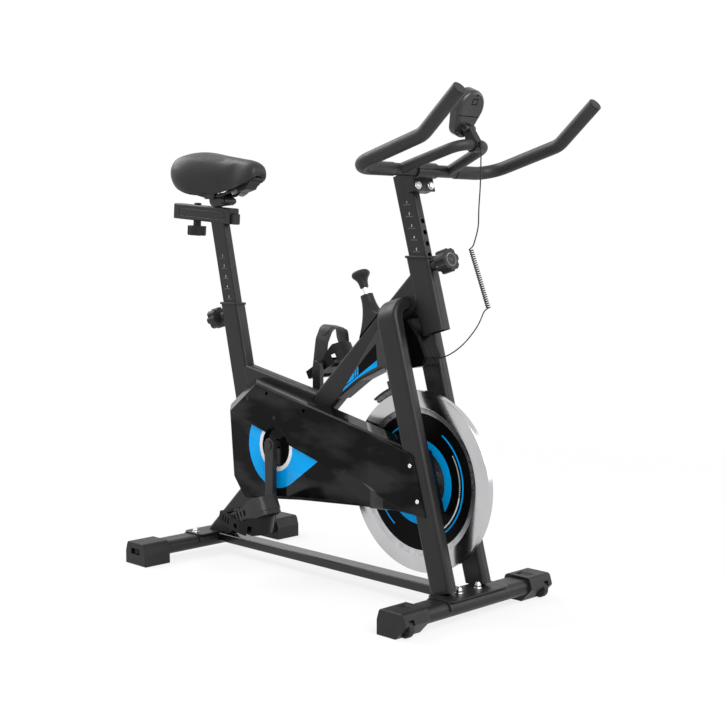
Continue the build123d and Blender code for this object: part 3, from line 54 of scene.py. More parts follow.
# Where things are, read from the frame
def middleOf(node):
    low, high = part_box(node)
    return (low + high) / 2


crankMid = middleOf("crank_axles")
wheelMid = middleOf("flywheel")
print("frame loaded", len(nodes), "nodes")


# Camera at the photograph's viewing angle
view = {"place": (2.114025, -1.9988, 0.76), "forward": (-0.7078, 0.7004, -0.0924), "lens": 65.6,
        "sensor": 36.0, "far": 60.0}


def place(name, data):
    piece = bpy.data.objects.new(name, data)
    bpy.context.scene.collection.objects.link(piece)
    return piece


def makeCamera():
    data = bpy.data.cameras.new("photoView")
    data.lens = view["lens"]
    data.sensor_width = view["sensor"]
    data.clip_end = view["far"]
    camera = place("photoView", data)
    camera.location = view["place"]
    camera.rotation_euler = Vector(view["forward"]).to_track_quat("-Z", "Y").to_euler()
    bpy.context.scene.camera = camera
    bpy.context.scene.view_settings.view_transform = "Standard"


makeCamera()
print("camera placed")


# Small helpers for shader trees
def startFinish(name):
    mat = bpy.data.materials.new(name)
    mat.use_nodes = True
    tree = mat.node_tree
    tree.nodes.clear()
    out = tree.nodes.new("ShaderNodeOutputMaterial")
    skin = tree.nodes.new("ShaderNodeBsdfPrincipled")
    tree.links.new(skin.outputs["BSDF"], out.inputs["Surface"])
    return mat, tree, skin


def wire(tree, node, inputs):
    for key, value in inputs.items():
        if hasattr(value, "is_output"):
            tree.links.new(value, node.inputs[key])
        else:
            node.inputs[key].default_value = value


def addNode(tree, kind, inputs=None, **settings):
    node = tree.nodes.new(kind)
    for key, value in settings.items():
        setattr(node, key, value)
    wire(tree, node, inputs or {})
    return node


def objectPoint(tree):
    return addNode(tree, "ShaderNodeTexCoord").outputs["Object"]


def noiseAt(tree, point, scale, detail=3.0):
    inputs = {"Vector": point, "Scale": scale, "Detail": detail}
    return addNode(tree, "ShaderNodeTexNoise", inputs).outputs["Fac"]


def spread(tree, value, low, high, fromLow=0.3, fromHigh=0.7):
    inputs = {"Value": value, "From Min": fromLow, "From Max": fromHigh, "To Min": low, "To Max": high}
    return addNode(tree, "ShaderNodeMapRange", inputs).outputs["Result"]


def uneven(tree, scale, low=0.0, high=1.0):
    return spread(tree, noiseAt(tree, objectPoint(tree), scale), low, high)


def blendColor(tree, share, first, second):
    node = addNode(tree, "ShaderNodeMix", data_type="RGBA")
    colors = [c if hasattr(c, "is_output") else (*c, 1) for c in (first, second)]
    wire(tree, node, {0: share, 6: colors[0], 7: colors[1]})
    return node.outputs[2]


def mottled(tree, scale, dark, light):
    return blendColor(tree, uneven(tree, scale), dark, light)


def mathOf(tree, operation, first, second=0.0):
    return addNode(tree, "ShaderNodeMath", {0: first, 1: second}, operation=operation).outputs[0]


def plus(tree, first, second):
    return mathOf(tree, "ADD", first, second)


def minus(tree, first, second):
    return mathOf(tree, "SUBTRACT", first, second)


def times(tree, first, second):
    return mathOf(tree, "MULTIPLY", first, second)


def either(tree, first, second):
    return mathOf(tree, "MAXIMUM", first, second)


def under(tree, value, limit):
    return mathOf(tree, "LESS_THAN", value, limit)


def over(tree, value, limit):
    return mathOf(tree, "GREATER_THAN", value, limit)


def raiseBump(tree, skin, height, depth, below=None):
    inputs = {"Height": height, "Distance": depth * mm, "Strength": 1.0}
    if below is not None:
        inputs["Normal"] = below
    wire(tree, skin, {"Normal": addNode(tree, "ShaderNodeBump", inputs).outputs["Normal"]})


# Sharp edges are shaded as if rounded
def roundEdge(tree, radius):
    return addNode(tree, "ShaderNodeBevel", {"Radius": radius * mm}, samples=6).outputs["Normal"]


def fineGrain(tree, skin, scale, depth, edge):
    raiseBump(tree, skin, noiseAt(tree, objectPoint(tree), scale), depth, roundEdge(tree, edge))


def grey(tone):
    return (tone, tone, tone * 1.04)  # a little cold


def greys(dark, light):
    return grey(dark), grey(light)


# A finish is mottled in colour and gloss and has a fine relief, in millimetres
def makeFinish(name, look):
    mat, tree, skin = startFinish(name)
    wire(tree, skin, {
        "Base Color": mottled(tree, look["mottle"], *look["tones"]),
        "Roughness": uneven(tree, look["patches"], *look["rough"]),
        "Metallic": look.get("metal", 0.0),
        "Coat Weight": look.get("coat", 0.0),
        "Coat Roughness": 0.05,
        "Sheen Weight": look.get("sheen", 0.0),
        "Specular IOR Level": look.get("specular", 0.5),
    })
    if "pebble" in look:
        cells = addNode(tree, "ShaderNodeTexVoronoi", {"Vector": objectPoint(tree), "Scale": look["pebble"]})
        relief = cells.outputs["Distance"]
    else:
        relief = noiseAt(tree, objectPoint(tree), look["grain"], detail=4.0)
    raiseBump(tree, skin, relief, look["relief"], roundEdge(tree, edgeRound))
    return mat


finishes = {
    "frameCoat": {"tones": greys(0.0072, 0.0115), "mottle": 9.0, "patches": 60.0, "rough": (0.36, 0.46),
                  "grain": 900.0, "relief": 0.02, "specular": 0.3},
    "railCoat": {"tones": greys(0.002, 0.004), "mottle": 9.0, "patches": 60.0, "rough": (0.18, 0.25),
                 "grain": 900.0, "relief": 0.01, "specular": 0.45},
    "mouldedBlack": {"tones": greys(0.009, 0.014), "mottle": 30.0, "patches": 120.0, "rough": (0.42, 0.55),
                     "grain": 1400.0, "relief": 0.03, "specular": 0.28},
    "softRubber": {"tones": greys(0.01, 0.016), "mottle": 40.0, "patches": 150.0, "rough": (0.5, 0.64),
                   "grain": 1800.0, "relief": 0.02, "specular": 0.3},
    "gripSleeve": {"tones": greys(0.012, 0.018), "mottle": 20.0, "patches": 90.0, "rough": (0.46, 0.54),
                   "grain": 1500.0, "relief": 0.004, "specular": 0.35},
    "brightZinc": {"tones": ((0.62, 0.63, 0.65), (0.80, 0.81, 0.82)), "mottle": 120.0, "patches": 200.0,
                   "rough": (0.16, 0.30), "grain": 900.0, "relief": 0.01, "metal": 1.0},
    "turnedSteel": {"tones": greys(0.42, 0.58), "mottle": 80.0, "patches": 160.0, "rough": (0.25, 0.4),
                    "grain": 700.0, "relief": 0.02, "metal": 1.0},
    "blackSteel": {"tones": greys(0.01, 0.018), "mottle": 60.0, "patches": 90.0, "rough": (0.3, 0.42),
                   "grain": 800.0, "relief": 0.02, "specular": 0.35},
    "woolFelt": {"tones": ((0.10, 0.095, 0.09), (0.18, 0.17, 0.16)), "mottle": 220.0, "patches": 300.0,
                 "rough": (0.85, 0.98), "grain": 1100.0, "relief": 0.3, "sheen": 0.3},
    "cableSheath": {"tones": greys(0.008, 0.014), "mottle": 60.0, "patches": 200.0, "rough": (0.35, 0.5),
                    "grain": 1500.0, "relief": 0.01, "specular": 0.3},
    "saddleSkin": {"tones": greys(0.01, 0.015), "mottle": 14.0, "patches": 50.0, "rough": (0.42, 0.5),
                   "pebble": 1500.0, "relief": 0.03, "specular": 0.35},
    "glossCase": {"tones": greys(0.006, 0.01), "mottle": 8.0, "patches": 25.0, "rough": (0.16, 0.22),
                  "grain": 60.0, "relief": 0.01, "specular": 0.35},
    "lensPane": {"tones": ((0.02, 0.024, 0.022), (0.03, 0.036, 0.033)), "mottle": 30.0, "patches": 20.0,
                 "rough": (0.04, 0.08), "grain": 40.0, "relief": 0.005, "coat": 0.5},
    "pulleyBlack": {"tones": greys(0.012, 0.02), "mottle": 40.0, "patches": 80.0, "rough": (0.45, 0.6),
                    "grain": 900.0, "relief": 0.03},
    "pedalBlack": {"tones": greys(0.0045, 0.008), "mottle": 30.0, "patches": 120.0, "rough": (0.4, 0.52),
                   "grain": 1400.0, "relief": 0.03, "specular": 0.16},
    "strapRubber": {"tones": greys(0.015, 0.021), "mottle": 40.0, "patches": 150.0, "rough": (0.4, 0.5),
                    "grain": 1800.0, "relief": 0.01, "specular": 0.4},
    "paleCap": {"tones": greys(0.42, 0.56), "mottle": 90.0, "patches": 60.0, "rough": (0.25, 0.35),
                "grain": 400.0, "relief": 0.01},
    "scaleRing": {"tones": greys(0.22, 0.32), "mottle": 90.0, "patches": 90.0, "rough": (0.4, 0.5),
                  "grain": 900.0, "relief": 0.01},
    "scaleInk": {"tones": greys(0.06, 0.1), "mottle": 260.0, "patches": 200.0, "rough": (0.5, 0.65),
                 "grain": 900.0, "relief": 0.005},
}
mats = {name: makeFinish(name, look) for name, look in finishes.items()}

# Which CAD node wears which finish; a few get skins of their own further down
worn = {
    "frameCoat": ["main_tube", "seat_tube", "head_tube", "top_tube", "fork_legs", "frame_lugs",
                  "mount_plates", "stabilizers", "seat_post", "seat_slider", "handlebar_post", "handlebar"],
    "railCoat": ["base_rail"],
    "blackSteel": ["crank_arms", "crank_axles", "saddle_wires", "saddle_clamp", "brake_shoe"],
    "mouldedBlack": ["stabilizer_feet", "tube_collars", "tension_boot", "rail_end_caps", "slider_knob",
                     "bar_end_caps", "monitor_bracket", "tension_knob", "saddle_base", "mode_button",
                     "leveller_right", "leveller_left"],
    "pedalBlack": ["pedal_right", "pedal_left"],
    "gripSleeve": ["bar_sleeves", "handlebar_loop"],
    "glossCase": ["belt_cover_back"],
    "brightZinc": ["frame_fasteners", "tension_rod"],
    "turnedSteel": ["crank_bearings", "flywheel", "flywheel_hub"],
    "pulleyBlack": ["drive_pulley"],
    "softRubber": ["drive_belt", "transport_wheel_right", "transport_wheel_left", "pedal_strap_right",
                   "pedal_strap_left"],
    "woolFelt": ["brake_pad"],
    "lensPane": ["monitor_lens"],
    "saddleSkin": ["saddle_pad"],
    "cableSheath": ["cable_upper", "cable_coil", "cable_lower"],
}


def dressNode(name, mat):
    slots = nodes[name].data.materials
    slots.clear()
    slots.append(mat)


for finish, wearers in worn.items():
    for wearer in wearers:
        dressNode(wearer, mats[finish])
print("finishes on the frame's nodes")


# Mesh helpers
def meshObject(name, points, faces, mat):
    mesh = bpy.data.meshes.new(name)
    mesh.from_pydata([tuple(p) for p in points], [], faces)
    mesh.validate()
    mesh.materials.append(mat)
    return place(name, mesh)


def mergeDoubles(form):
    bmesh.ops.remove_doubles(form, verts=form.verts, dist=0.01 * mm)


def turnOut(form):
    bmesh.ops.recalc_face_normals(form, faces=form.faces)


def reform(piece, *steps):
    form = bmesh.new()
    form.from_mesh(piece.data)
    for step in steps:
        step(form)
    form.to_mesh(piece.data)
    form.free()


def smoothBelow(piece, degrees):
    mesh = piece.data
    mesh.shade_smooth()
    mesh.set_sharp_from_angle(angle=math.radians(degrees))


# A profile of (radius, height) points turned round an axle; spotAt places each point
def lathe(name, profile, steps, mat, spotAt, closed=False):
    count = len(profile)
    points = []
    faces = []
    for k in range(steps):
        turn = 2 * math.pi * k / steps
        points += [spotAt(turn, radius, height) for radius, height in profile]
        near = k * count
        far = (k + 1) % steps * count
        for i in range(count if closed else count - 1):
            j = (i + 1) % count
            faces.append((near + i, near + j, far + j, far + i))
    piece = meshObject(name, points, faces, mat)
    reform(piece, mergeDoubles, turnOut)
    return piece


# Monitor cable on one line: upper run, curls, lower run, in millimetres of the row frame
cable = {"start": (425.025, 0.0, 939.0),
         "upper": [(0, 0), (0, -40), (-1.5, -84), (-5, -120), (-4.5, -152), (-12, -176)],
         "coilTop": (401.025, 0.0, 741.0), "coilAxis": (0.372, 0.0, -0.928), "coilLength": 125.0,
         "coilRadius": 3.7, "turns": 28, "perTurn": 16, "lead": 8.0,
         "lower": [(423.025, 592), (396.025, 562), (371.025, 541.5), (343.025, 526), (318.025, 517.5)],
         "end": (298.025, 517.8), "radius": 1.3}


def curlPoint(turns, radius):
    axis = Vector(cable["coilAxis"]).normalized()
    side = Vector((0, 1, 0))
    other = axis.cross(side)
    a = 2 * math.pi * turns + math.pi
    pitch = cable["coilLength"] / cable["turns"]
    centre = Vector(cable["coilTop"]) + axis * (pitch * turns)
    lead = axis * (pitch / (2 * math.pi * radius))
    spot = centre + (side * math.cos(a) + other * math.sin(a)) * radius
    return spot, (other * math.cos(a) - side * math.sin(a) + lead).normalized()


def cableRoute():
    radius = cable["coilRadius"]
    perTurn = cable["perTurn"]
    held = radius / (0.75 + 0.25 * math.cos(2 * math.pi / perTurn))  # control points lie outside the curve
    first, lead = curlPoint(0, radius)
    last, trail = curlPoint(cable["turns"], radius)
    stub = 2 * cable["radius"]
    route = [Vector(cable["start"]) + Vector((x, 0, z)) for x, z in cable["upper"]]
    route += [first - lead * (stub + cable["lead"]), first - lead * stub]
    route += [curlPoint(k / perTurn, held)[0] for k in range(cable["turns"] * perTurn + 1)]
    route += [last + trail * stub, last + trail * (stub + cable["lead"])]
    route += [Vector((x, 0, z)) for x, z in cable["lower"] + [cable["end"]]]
    return [p * mm for p in route]


def evaluatedMesh(piece):
    bpy.context.view_layer.update()
    ready = piece.evaluated_get(bpy.context.evaluated_depsgraph_get())
    return bpy.data.meshes.new_from_object(ready)


def curveLine(name, spots, order, steps):
    data = bpy.data.curves.new(name, "CURVE")
    data.dimensions = "3D"
    data.resolution_u = steps
    line = data.splines.new("NURBS")
    line.points.add(len(spots) - 1)
    for held, spot in zip(line.points, spots):
        held.co = (*spot, 1)
    line.order_u = order
    return place(name, data), line


def roundTube(curve, name, radius, finish, sides):
    curve.data.bevel_depth = radius * mm
    curve.data.bevel_resolution = sides
    mesh = evaluatedMesh(curve)
    bpy.data.objects.remove(curve)
    mesh.name = name
    mesh.materials.clear()
    mesh.materials.append(mats[finish])
    mesh.shade_smooth()
    return place(name, mesh)


def makeCable():
    curve, line = curveLine("cableLine", cableRoute(), order=3, steps=3)
    line.use_endpoint_u = True
    curve.data.use_fill_caps = True
    path = [v.co.copy() for v in evaluatedMesh(curve).vertices]
    piece = roundTube(curve, "monitorCable", cable["radius"], "cableSheath", sides=2)
    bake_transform(piece)  # the cable's points are moved into the world frame
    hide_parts("cable_upper", "cable_coil", "cable_lower")


makeCable()
print("cable hung")


# Places and masks about a middle in the row frame, in millimetres
def aboutMiddle(tree, middle):
    inputs = {0: objectPoint(tree), 1: tuple(middle)}
    shifted = addNode(tree, "ShaderNodeVectorMath", inputs, operation="SUBTRACT")
    inputs = {0: shifted.outputs[0], "Scale": 1 / mm}
    scaled = addNode(tree, "ShaderNodeVectorMath", inputs, operation="SCALE")
    return addNode(tree, "ShaderNodeSeparateXYZ", {0: scaled.outputs[0]}).outputs[:3]


def within(tree, value, low, high):
    return times(tree, over(tree, value, low), under(tree, value, high))


def radiusOf(tree, x, z):
    return mathOf(tree, "SQRT", plus(tree, times(tree, x, x), times(tree, z, z)))


def along(tree, x, z, lead):
    return plus(tree, times(tree, x, lead[0]), times(tree, z, lead[1]))


# Places along a slanted line and in front of it, in millimetres from a point on the line
def alongLine(tree, start, line, front):
    x, y, z = aboutMiddle(tree, Vector(start) * mm)
    return along(tree, x, z, line), along(tree, x, z, front), y


inks = {"blue": (0.0, 0.39, 0.92), "white": (0.86, 0.86, 0.86), "black": (0.0025, 0.0025, 0.0028)}

# Flywheel: chromed rim with a printed disc on both sides
wheel = {"radius": 191.0, "half": 8.0, "faceIn": 157.0, "discOut": 144.5, "web": 4.5, "bore": 31.5,
         "steps": 256, "ring": (71.5, 90.5), "thinRing": (119.5, 123.0), "whiteRing": (111.5, 114.5),
         "arcs": [(-55, 58), (118, 235)], "whiteArcs": [(-54, -10), (127, 134), (198, 211)],
         "dots": (-9, 35), "dash": (0.42, 0.5), "step": [(-1.0, 0.0), (0.4, 0.3)],
         "roundIn": [(-1.2, -0.8), (0.0, -0.15), (1.2, 0.0)],
         "roundOut": [(-1.6, 0.0), (-0.6, -0.4), (0.0, -1.6)], "seam": 0.6, "steel": (0.62, 0.62, 0.63),
         "groove": (9.0, 0.03), "flat": 0.5, "printGloss": (90.0, 0.3, 0.4),
         "chrome": (14.0, (0.49, 0.49, 0.5), (0.54, 0.54, 0.55)), "toolMarks": (3.0, 0.02),
         "polish": (0.12, 0.24)}


def wheelPrint():
    mat, tree, skin = startFinish("wheelPrint")
    x, _, z = aboutMiddle(tree, wheelMid)
    radius = radiusOf(tree, x, z)
    turn = times(tree, mathOf(tree, "ARCTAN2", z, x), 180 / math.pi)
    ends = {1: 270.0, 2: -90.0}  # degrees, so that no arc crosses the seam
    angle = addNode(tree, "ShaderNodeMath", {0: turn, **ends}, operation="WRAP").outputs[0]
    thin = within(tree, radius, *wheel["thinRing"])
    blue = within(tree, radius, *wheel["ring"])
    for arc in wheel["arcs"]:
        blue = either(tree, blue, times(tree, thin, within(tree, angle, *arc)))
    perDegree, inked = wheel["dash"]
    dash = mathOf(tree, "FRACT", times(tree, angle, perDegree))
    white = times(tree, under(tree, dash, inked), within(tree, angle, *wheel["dots"]))
    for arc in wheel["whiteArcs"]:
        white = either(tree, white, within(tree, angle, *arc))
    white = times(tree, white, within(tree, radius, *wheel["whiteRing"]))
    steel = under(tree, radius, wheel["ring"][0])
    color = blendColor(tree, blue, inks["black"], inks["blue"])
    color = blendColor(tree, white, color, inks["white"])
    color = blendColor(tree, steel, color, wheel["steel"])
    wire(tree, skin, {"Base Color": color, "Metallic": steel, "Specular IOR Level": 0.05,
                      "Roughness": uneven(tree, *wheel["printGloss"])})
    pace, depth = wheel["groove"]
    grooves = mathOf(tree, "SINE", times(tree, radius, pace))
    raiseBump(tree, skin, times(tree, grooves, steel), depth)
    return mat


def turnedChrome():
    mat, tree, skin = startFinish("turnedChrome")
    x, y, z = aboutMiddle(tree, wheelMid)
    around = addNode(tree, "ShaderNodeCombineXYZ", {0: radiusOf(tree, x, z), 1: y, 2: 0.0}).outputs[0]
    scale, depth = wheel["toolMarks"]
    marks = noiseAt(tree, around, scale, detail=5.0)
    wire(tree, skin, {"Base Color": mottled(tree, *wheel["chrome"]), "Metallic": 1.0,
                      "Roughness": spread(tree, marks, *wheel["polish"])})
    raiseBump(tree, skin, marks, depth)
    return mat


def wheelSpot(turn, radius, across):
    return wheelMid + Vector((math.cos(turn) * radius, across, math.sin(turn) * radius)) * mm


def makeFlywheel():
    disc = wheel["discOut"]
    face = wheel["faceIn"]
    side = [(wheel["bore"], wheel["web"])]
    for radius, depth, bend in ((disc, wheel["web"], "step"), (face, wheel["half"], "roundIn"),
                                (wheel["radius"], wheel["half"], "roundOut")):
        side += [(radius + r, depth + y) for r, y in wheel[bend]]
    profile = side + [(r, -y) for r, y in reversed(side)]
    body = lathe("flywheelBody", profile, wheel["steps"], turnedChrome(), wheelSpot, closed=True)
    body.data.materials.append(wheelPrint())
    body.data.materials.append(mats["turnedSteel"])
    for part in body.data.polygons:
        reach = math.hypot(part.center.x - wheelMid.x, part.center.z - wheelMid.z) / mm
        if abs(part.normal.y) > wheel["flat"] and reach < disc:
            part.material_index = 1
        elif disc < reach < face - wheel["seam"]:
            part.material_index = 2
    smoothBelow(body, 25)
    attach(body, "wheel")
    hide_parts("flywheel")


makeFlywheel()
print("flywheel turned")

# Print on the belt cover's lower field, with painted light: a painted highlight on the band's lower step,
# painted shade in the screw wells and painted reflection streaks
coverPrint = {"drop": 6.0, "white": (46.0, 55.5), "blue": 93.7, "tangent": (0.569, -0.823),
              "field": (-59.5, -56.5), "step": (-63.2, -58.3), "well": 4.2,
              "wells": [(-149.7, 412.7), (-24.8, 384.5)], "under": (-0.266, 20.0),
              "band": (7.0, grey(0.0012), grey(0.003)), "panel": (7.0, grey(0.0028), grey(0.0065)),
              "paintedLedgeHighlight": grey(0.03), "hollow": grey(0.0004), "streak": (5.0, 1.0, 14.0),
              "slant": (0.0, 0.5, 0.0), "paintedReflection": (0.07, 0.24, 0.48, 0.62), "gloss": (30.0, 0.1, 0.17),
              "ripple": (45.0, 0.02, 2.0)}


def makeCoverSkin():
    mat, tree, skin = startFinish("coverSkin")
    look = coverPrint
    x, y, z = aboutMiddle(tree, (crankMid.x, 0, crankMid.z - look["drop"] * mm))
    radius = radiusOf(tree, x, z)
    nx, nz = look["tangent"]
    corner = times(tree, under(tree, along(tree, x, z, (nx, nz)), look["blue"]),
                   over(tree, along(tree, x, z, (-nz, nx)), 0.0))
    patch = either(tree, corner, under(tree, radius, look["blue"]))
    patch = times(tree, patch, within(tree, y, *look["field"]))
    slope, rise = look["under"]
    patch = times(tree, patch, under(tree, z, plus(tree, times(tree, x, slope), rise)))
    blue = times(tree, patch, over(tree, radius, look["white"][1]))
    white = times(tree, patch, within(tree, radius, *look["white"]))
    color = blendColor(tree, over(tree, y, look["step"][1]), mottled(tree, *look["band"]),
                       mottled(tree, *look["panel"]))
    # Painted highlight: the band's lower step is painted light grey, as if its rounded edge caught the lamps
    color = blendColor(tree, within(tree, y, *look["step"]), color, look["paintedLedgeHighlight"])
    streaks = addNode(tree, "ShaderNodeMapping", {"Vector": objectPoint(tree), "Rotation": look["slant"],
                                                  "Scale": look["streak"]}).outputs[0]
    paintedReflection = spread(tree, noiseAt(tree, streaks, 1.0), *look["paintedReflection"])  # painted reflection: soft streaks of stronger specular stand in for reflections
    for wellX, wellZ in look["wells"]:  # painted shade: dark discs without reflection in the sunk screw wells of the band
        ax, _, az = aboutMiddle(tree, (wellX * mm, 0, wellZ * mm))
        wellShadeMask = under(tree, radiusOf(tree, ax, az), look["well"])
        wellShadeMask = times(tree, wellShadeMask, under(tree, y, look["step"][0]))
        color = blendColor(tree, wellShadeMask, color, look["hollow"])
        paintedReflection = times(tree, paintedReflection, minus(tree, 1.0, wellShadeMask))
    color = blendColor(tree, blue, color, inks["blue"])
    color = blendColor(tree, white, color, inks["white"])
    wire(tree, skin, {"Base Color": color, "Roughness": uneven(tree, *look["gloss"]),
                      "Specular IOR Level": paintedReflection})
    fineGrain(tree, skin, *look["ripple"])
    return mat


dressNode("belt_cover", makeCoverSkin())
print("belt cover printed")

# Saddle pad: foam under a stretched skin
saddle = {"voxel": 0.005, "shrink": 0.002, "relax": 6, "pressure": 2.4, "mass": 0.3, "stretch": 25.0,
          "bend": 8.0, "frames": 20, "most": 0.005}


def nodeCopy(node, name):
    mesh = nodes[node].data.copy()
    mesh.transform(nodes[node].matrix_world)
    mesh.materials.clear()
    return place(name, mesh)


def applyModifiers(piece):
    mesh = evaluatedMesh(piece)
    old = piece.data
    piece.modifiers.clear()
    piece.data = mesh
    bpy.data.meshes.remove(old)


def inset(piece, depth):
    shrink = piece.modifiers.new("inset", "DISPLACE")
    shrink.strength = -depth
    shrink.mid_level = 0.0


def thicken(piece, thick):
    body = piece.modifiers.new("body", "SOLIDIFY")
    body.thickness = thick * mm
    body.offset = 0.0
    applyModifiers(piece)


def puff(piece):
    start = [v.co.copy() for v in piece.data.vertices]
    cloth = piece.modifiers.new("stuffing", "CLOTH")
    skin = cloth.settings
    skin.use_pressure = True
    skin.uniform_pressure_force = saddle["pressure"]
    skin.mass = saddle["mass"]
    skin.tension_stiffness = saddle["stretch"]
    skin.compression_stiffness = saddle["stretch"]
    skin.bending_stiffness = saddle["bend"]
    skin.effector_weights.gravity = 0.0
    cloth.point_cache.frame_start = 1
    cloth.point_cache.frame_end = saddle["frames"]
    scene = bpy.context.scene
    for k in range(1, saddle["frames"] + 1):
        scene.frame_set(k)
    applyModifiers(piece)
    scene.frame_set(1)
    moved = 0.0
    for v, rest in zip(piece.data.vertices, start):
        step = v.co - rest
        if step.length > saddle["most"]:
            step = step.normalized() * saddle["most"]
        v.co = rest + step
        moved = max(moved, step.length)
    print("saddle skin moved", round(moved / mm, 2), "mm")


def makeSaddle():
    pad = nodeCopy("saddle_pad", "saddleCushion")
    remesh = pad.modifiers.new("even", "REMESH")
    remesh.mode = "VOXEL"
    remesh.voxel_size = saddle["voxel"]
    inset(pad, saddle["shrink"])
    relax = pad.modifiers.new("relax", "SMOOTH")
    relax.factor = 0.5
    relax.iterations = saddle["relax"]
    applyModifiers(pad)
    puff(pad)
    finer = pad.modifiers.new("finer", "SUBSURF")
    finer.levels = 1
    finer.render_levels = 1
    applyModifiers(pad)
    pad.data.materials.append(mats["saddleSkin"])
    pad.data.shade_smooth()
    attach(pad, "saddle")
    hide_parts("saddle_pad")
    return pad


# Piping along the cushion's lower edge
piping = {"stations": 28, "ends": (0.05, 0.94), "slab": 0.004, "out": 0.62, "down": 0.78, "radius": 1.3,
          "passes": 3}


def makePiping(pad):
    spots = [v.co for v in pad.data.vertices]
    low = min(p.x for p in spots)
    high = max(p.x for p in spots)
    first, last = piping["ends"]
    line = []
    for side in (1, -1):
        row = []
        for k in range(piping["stations"] + 1):
            x = low + (high - low) * (first + (last - first) * k / piping["stations"])
            near = [p for p in spots if abs(p.x - x) < piping["slab"] and p.y * side > 0]
            row.append(max(near, key=lambda p: abs(p.y) * piping["out"] - p.z * piping["down"]).copy())
        line += row if side == 1 else row[::-1]
    for _ in range(piping["passes"]):
        line = [(line[k - 1] + line[k] * 2 + line[(k + 1) % len(line)]) / 4 for k in range(len(line))]
    curve, loop = curveLine("pipingLine", line, order=4, steps=12)
    loop.use_cyclic_u = True
    piece = roundTube(curve, "saddlePiping", piping["radius"], "saddleSkin", sides=3)
    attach(piece, "saddle")


makePiping(makeSaddle())
print("saddle stuffed")


# Solids copied to get rounder edges
def softCopy(node, name, finish, body, edge, shrink=0.0):
    piece = nodeCopy(node, name)
    reform(piece, mergeDoubles)
    if shrink:
        inset(piece, shrink * mm)
        applyModifiers(piece)
    roundEdges(piece, edge)
    piece.data.materials.append(mats[finish])
    smoothBelow(piece, 35)
    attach(piece, body)
    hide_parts(node)


def roundEdges(piece, width):
    bevel = piece.modifiers.new("edge", "BEVEL")
    bevel.width = width * mm
    bevel.segments = 2
    bevel.limit_method = "ANGLE"
    bevel.angle_limit = math.radians(40)
    applyModifiers(piece)


softCopy("bar_sleeves", "gripSleeves", "gripSleeve", "bars", edge=0.8)
softCopy("brake_pad", "feltPad", "woolFelt", "brake", edge=0.6)
softCopy("mode_button", "modeKey", "mouldedBlack", "monitor_key", edge=0.3, shrink=0.15)
print("grips, felt and key softened")


# Tension knob: a smooth tulip with a pale cap, radius and height in millimetres from its foot
knob = {"foot": (101.706, 0.0, 657.116), "axis": (-0.382683, 0.0, 0.92388), "steps": 72, "cap": 37.3,
        "lobes": 9, "lobeDepth": 0.5, "lobesOver": 16.0, "lobesBelow": 36.0,
        "profile": [(0, 28.2), (4.3, 28.2), (4.3, 2.6), (5.3, 2.6), (5.3, 0), (9, 0), (9.4, 1.2), (9.7, 6),
                    (10.6, 12), (12.8, 18), (16.4, 23), (19.4, 26.6), (20.7, 29.6), (20.4, 32.6),
                    (18.9, 35.2), (16.4, 36.9), (15.4, 37.1), (15.0, 37.7), (8, 38.2), (0, 38.4)]}


def knobSpot(turn, radius, height):
    axis = Vector(knob["axis"])
    side = Vector((0, 1, 0))
    if radius > knob["lobesOver"] and height < knob["lobesBelow"]:
        radius -= knob["lobeDepth"] * (1 - math.cos(knob["lobes"] * turn))
    out = side * math.cos(turn) + axis.cross(side) * math.sin(turn)
    return (Vector(knob["foot"]) + out * radius + axis * height) * mm


def makeKnob():
    piece = lathe("tulipKnob", knob["profile"], knob["steps"], mats["mouldedBlack"], knobSpot)
    piece.data.materials.append(mats["paleCap"])
    for face in piece.data.polygons:
        if (face.center / mm - Vector(knob["foot"])).dot(Vector(knob["axis"])) > knob["cap"]:
            face.material_index = 1
    smoothBelow(piece, 40)
    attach(piece, "brake_grip")
    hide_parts("tension_knob")


makeKnob()
print("tension knob turned")


# Sheets of rows of points, thickened
def solidSheet(name, rows, skip, thick, edge):
    points = [p for row in rows for p in row]
    wide = len(rows[0])
    faces = []
    for i in range(len(rows) - 1):
        for j in range(wide - 1):
            if (i, j) not in skip:
                k = i * wide + j
                faces.append((k, k + 1, k + wide + 1, k + wide))
    piece = meshObject(name, points, faces, mats["strapRubber"])
    thicken(piece, thick)
    roundEdges(piece, edge)
    return piece


def roundedRun(points, radius, step):
    run = [Vector(points[0])]
    for before, corner, after in zip(points, points[1:], points[2:]):
        turn = Vector(corner)
        a = (Vector(before) - turn).normalized()
        b = (Vector(after) - turn).normalized()
        half = a.angle(b) / 2
        middle = turn + (a + b).normalized() * (radius / math.sin(half))
        first = turn + a * (radius / math.tan(half)) - middle
        last = turn + b * (radius / math.tan(half)) - middle
        swing = math.pi - 2 * half
        count = max(2, round(radius * swing / step))
        for k in range(count + 1):
            t = swing * k / count
            run.append(middle + (first * math.sin(swing - t) + last * math.sin(t)) / math.sin(swing))
    return run + [Vector(points[-1])]


def evenSpots(run, count):
    lengths = [0.0]
    for a, b in zip(run, run[1:]):
        lengths.append(lengths[-1] + (b - a).length)
    spots = []
    i = 0
    for k in range(count + 1):
        aim = lengths[-1] * k / count
        while i < len(run) - 2 and lengths[i + 1] < aim:
            i += 1
        share = (aim - lengths[i]) / (lengths[i + 1] - lengths[i])
        spots.append((run[i].lerp(run[i + 1], share), (run[i + 1] - run[i]).normalized()))
    return spots


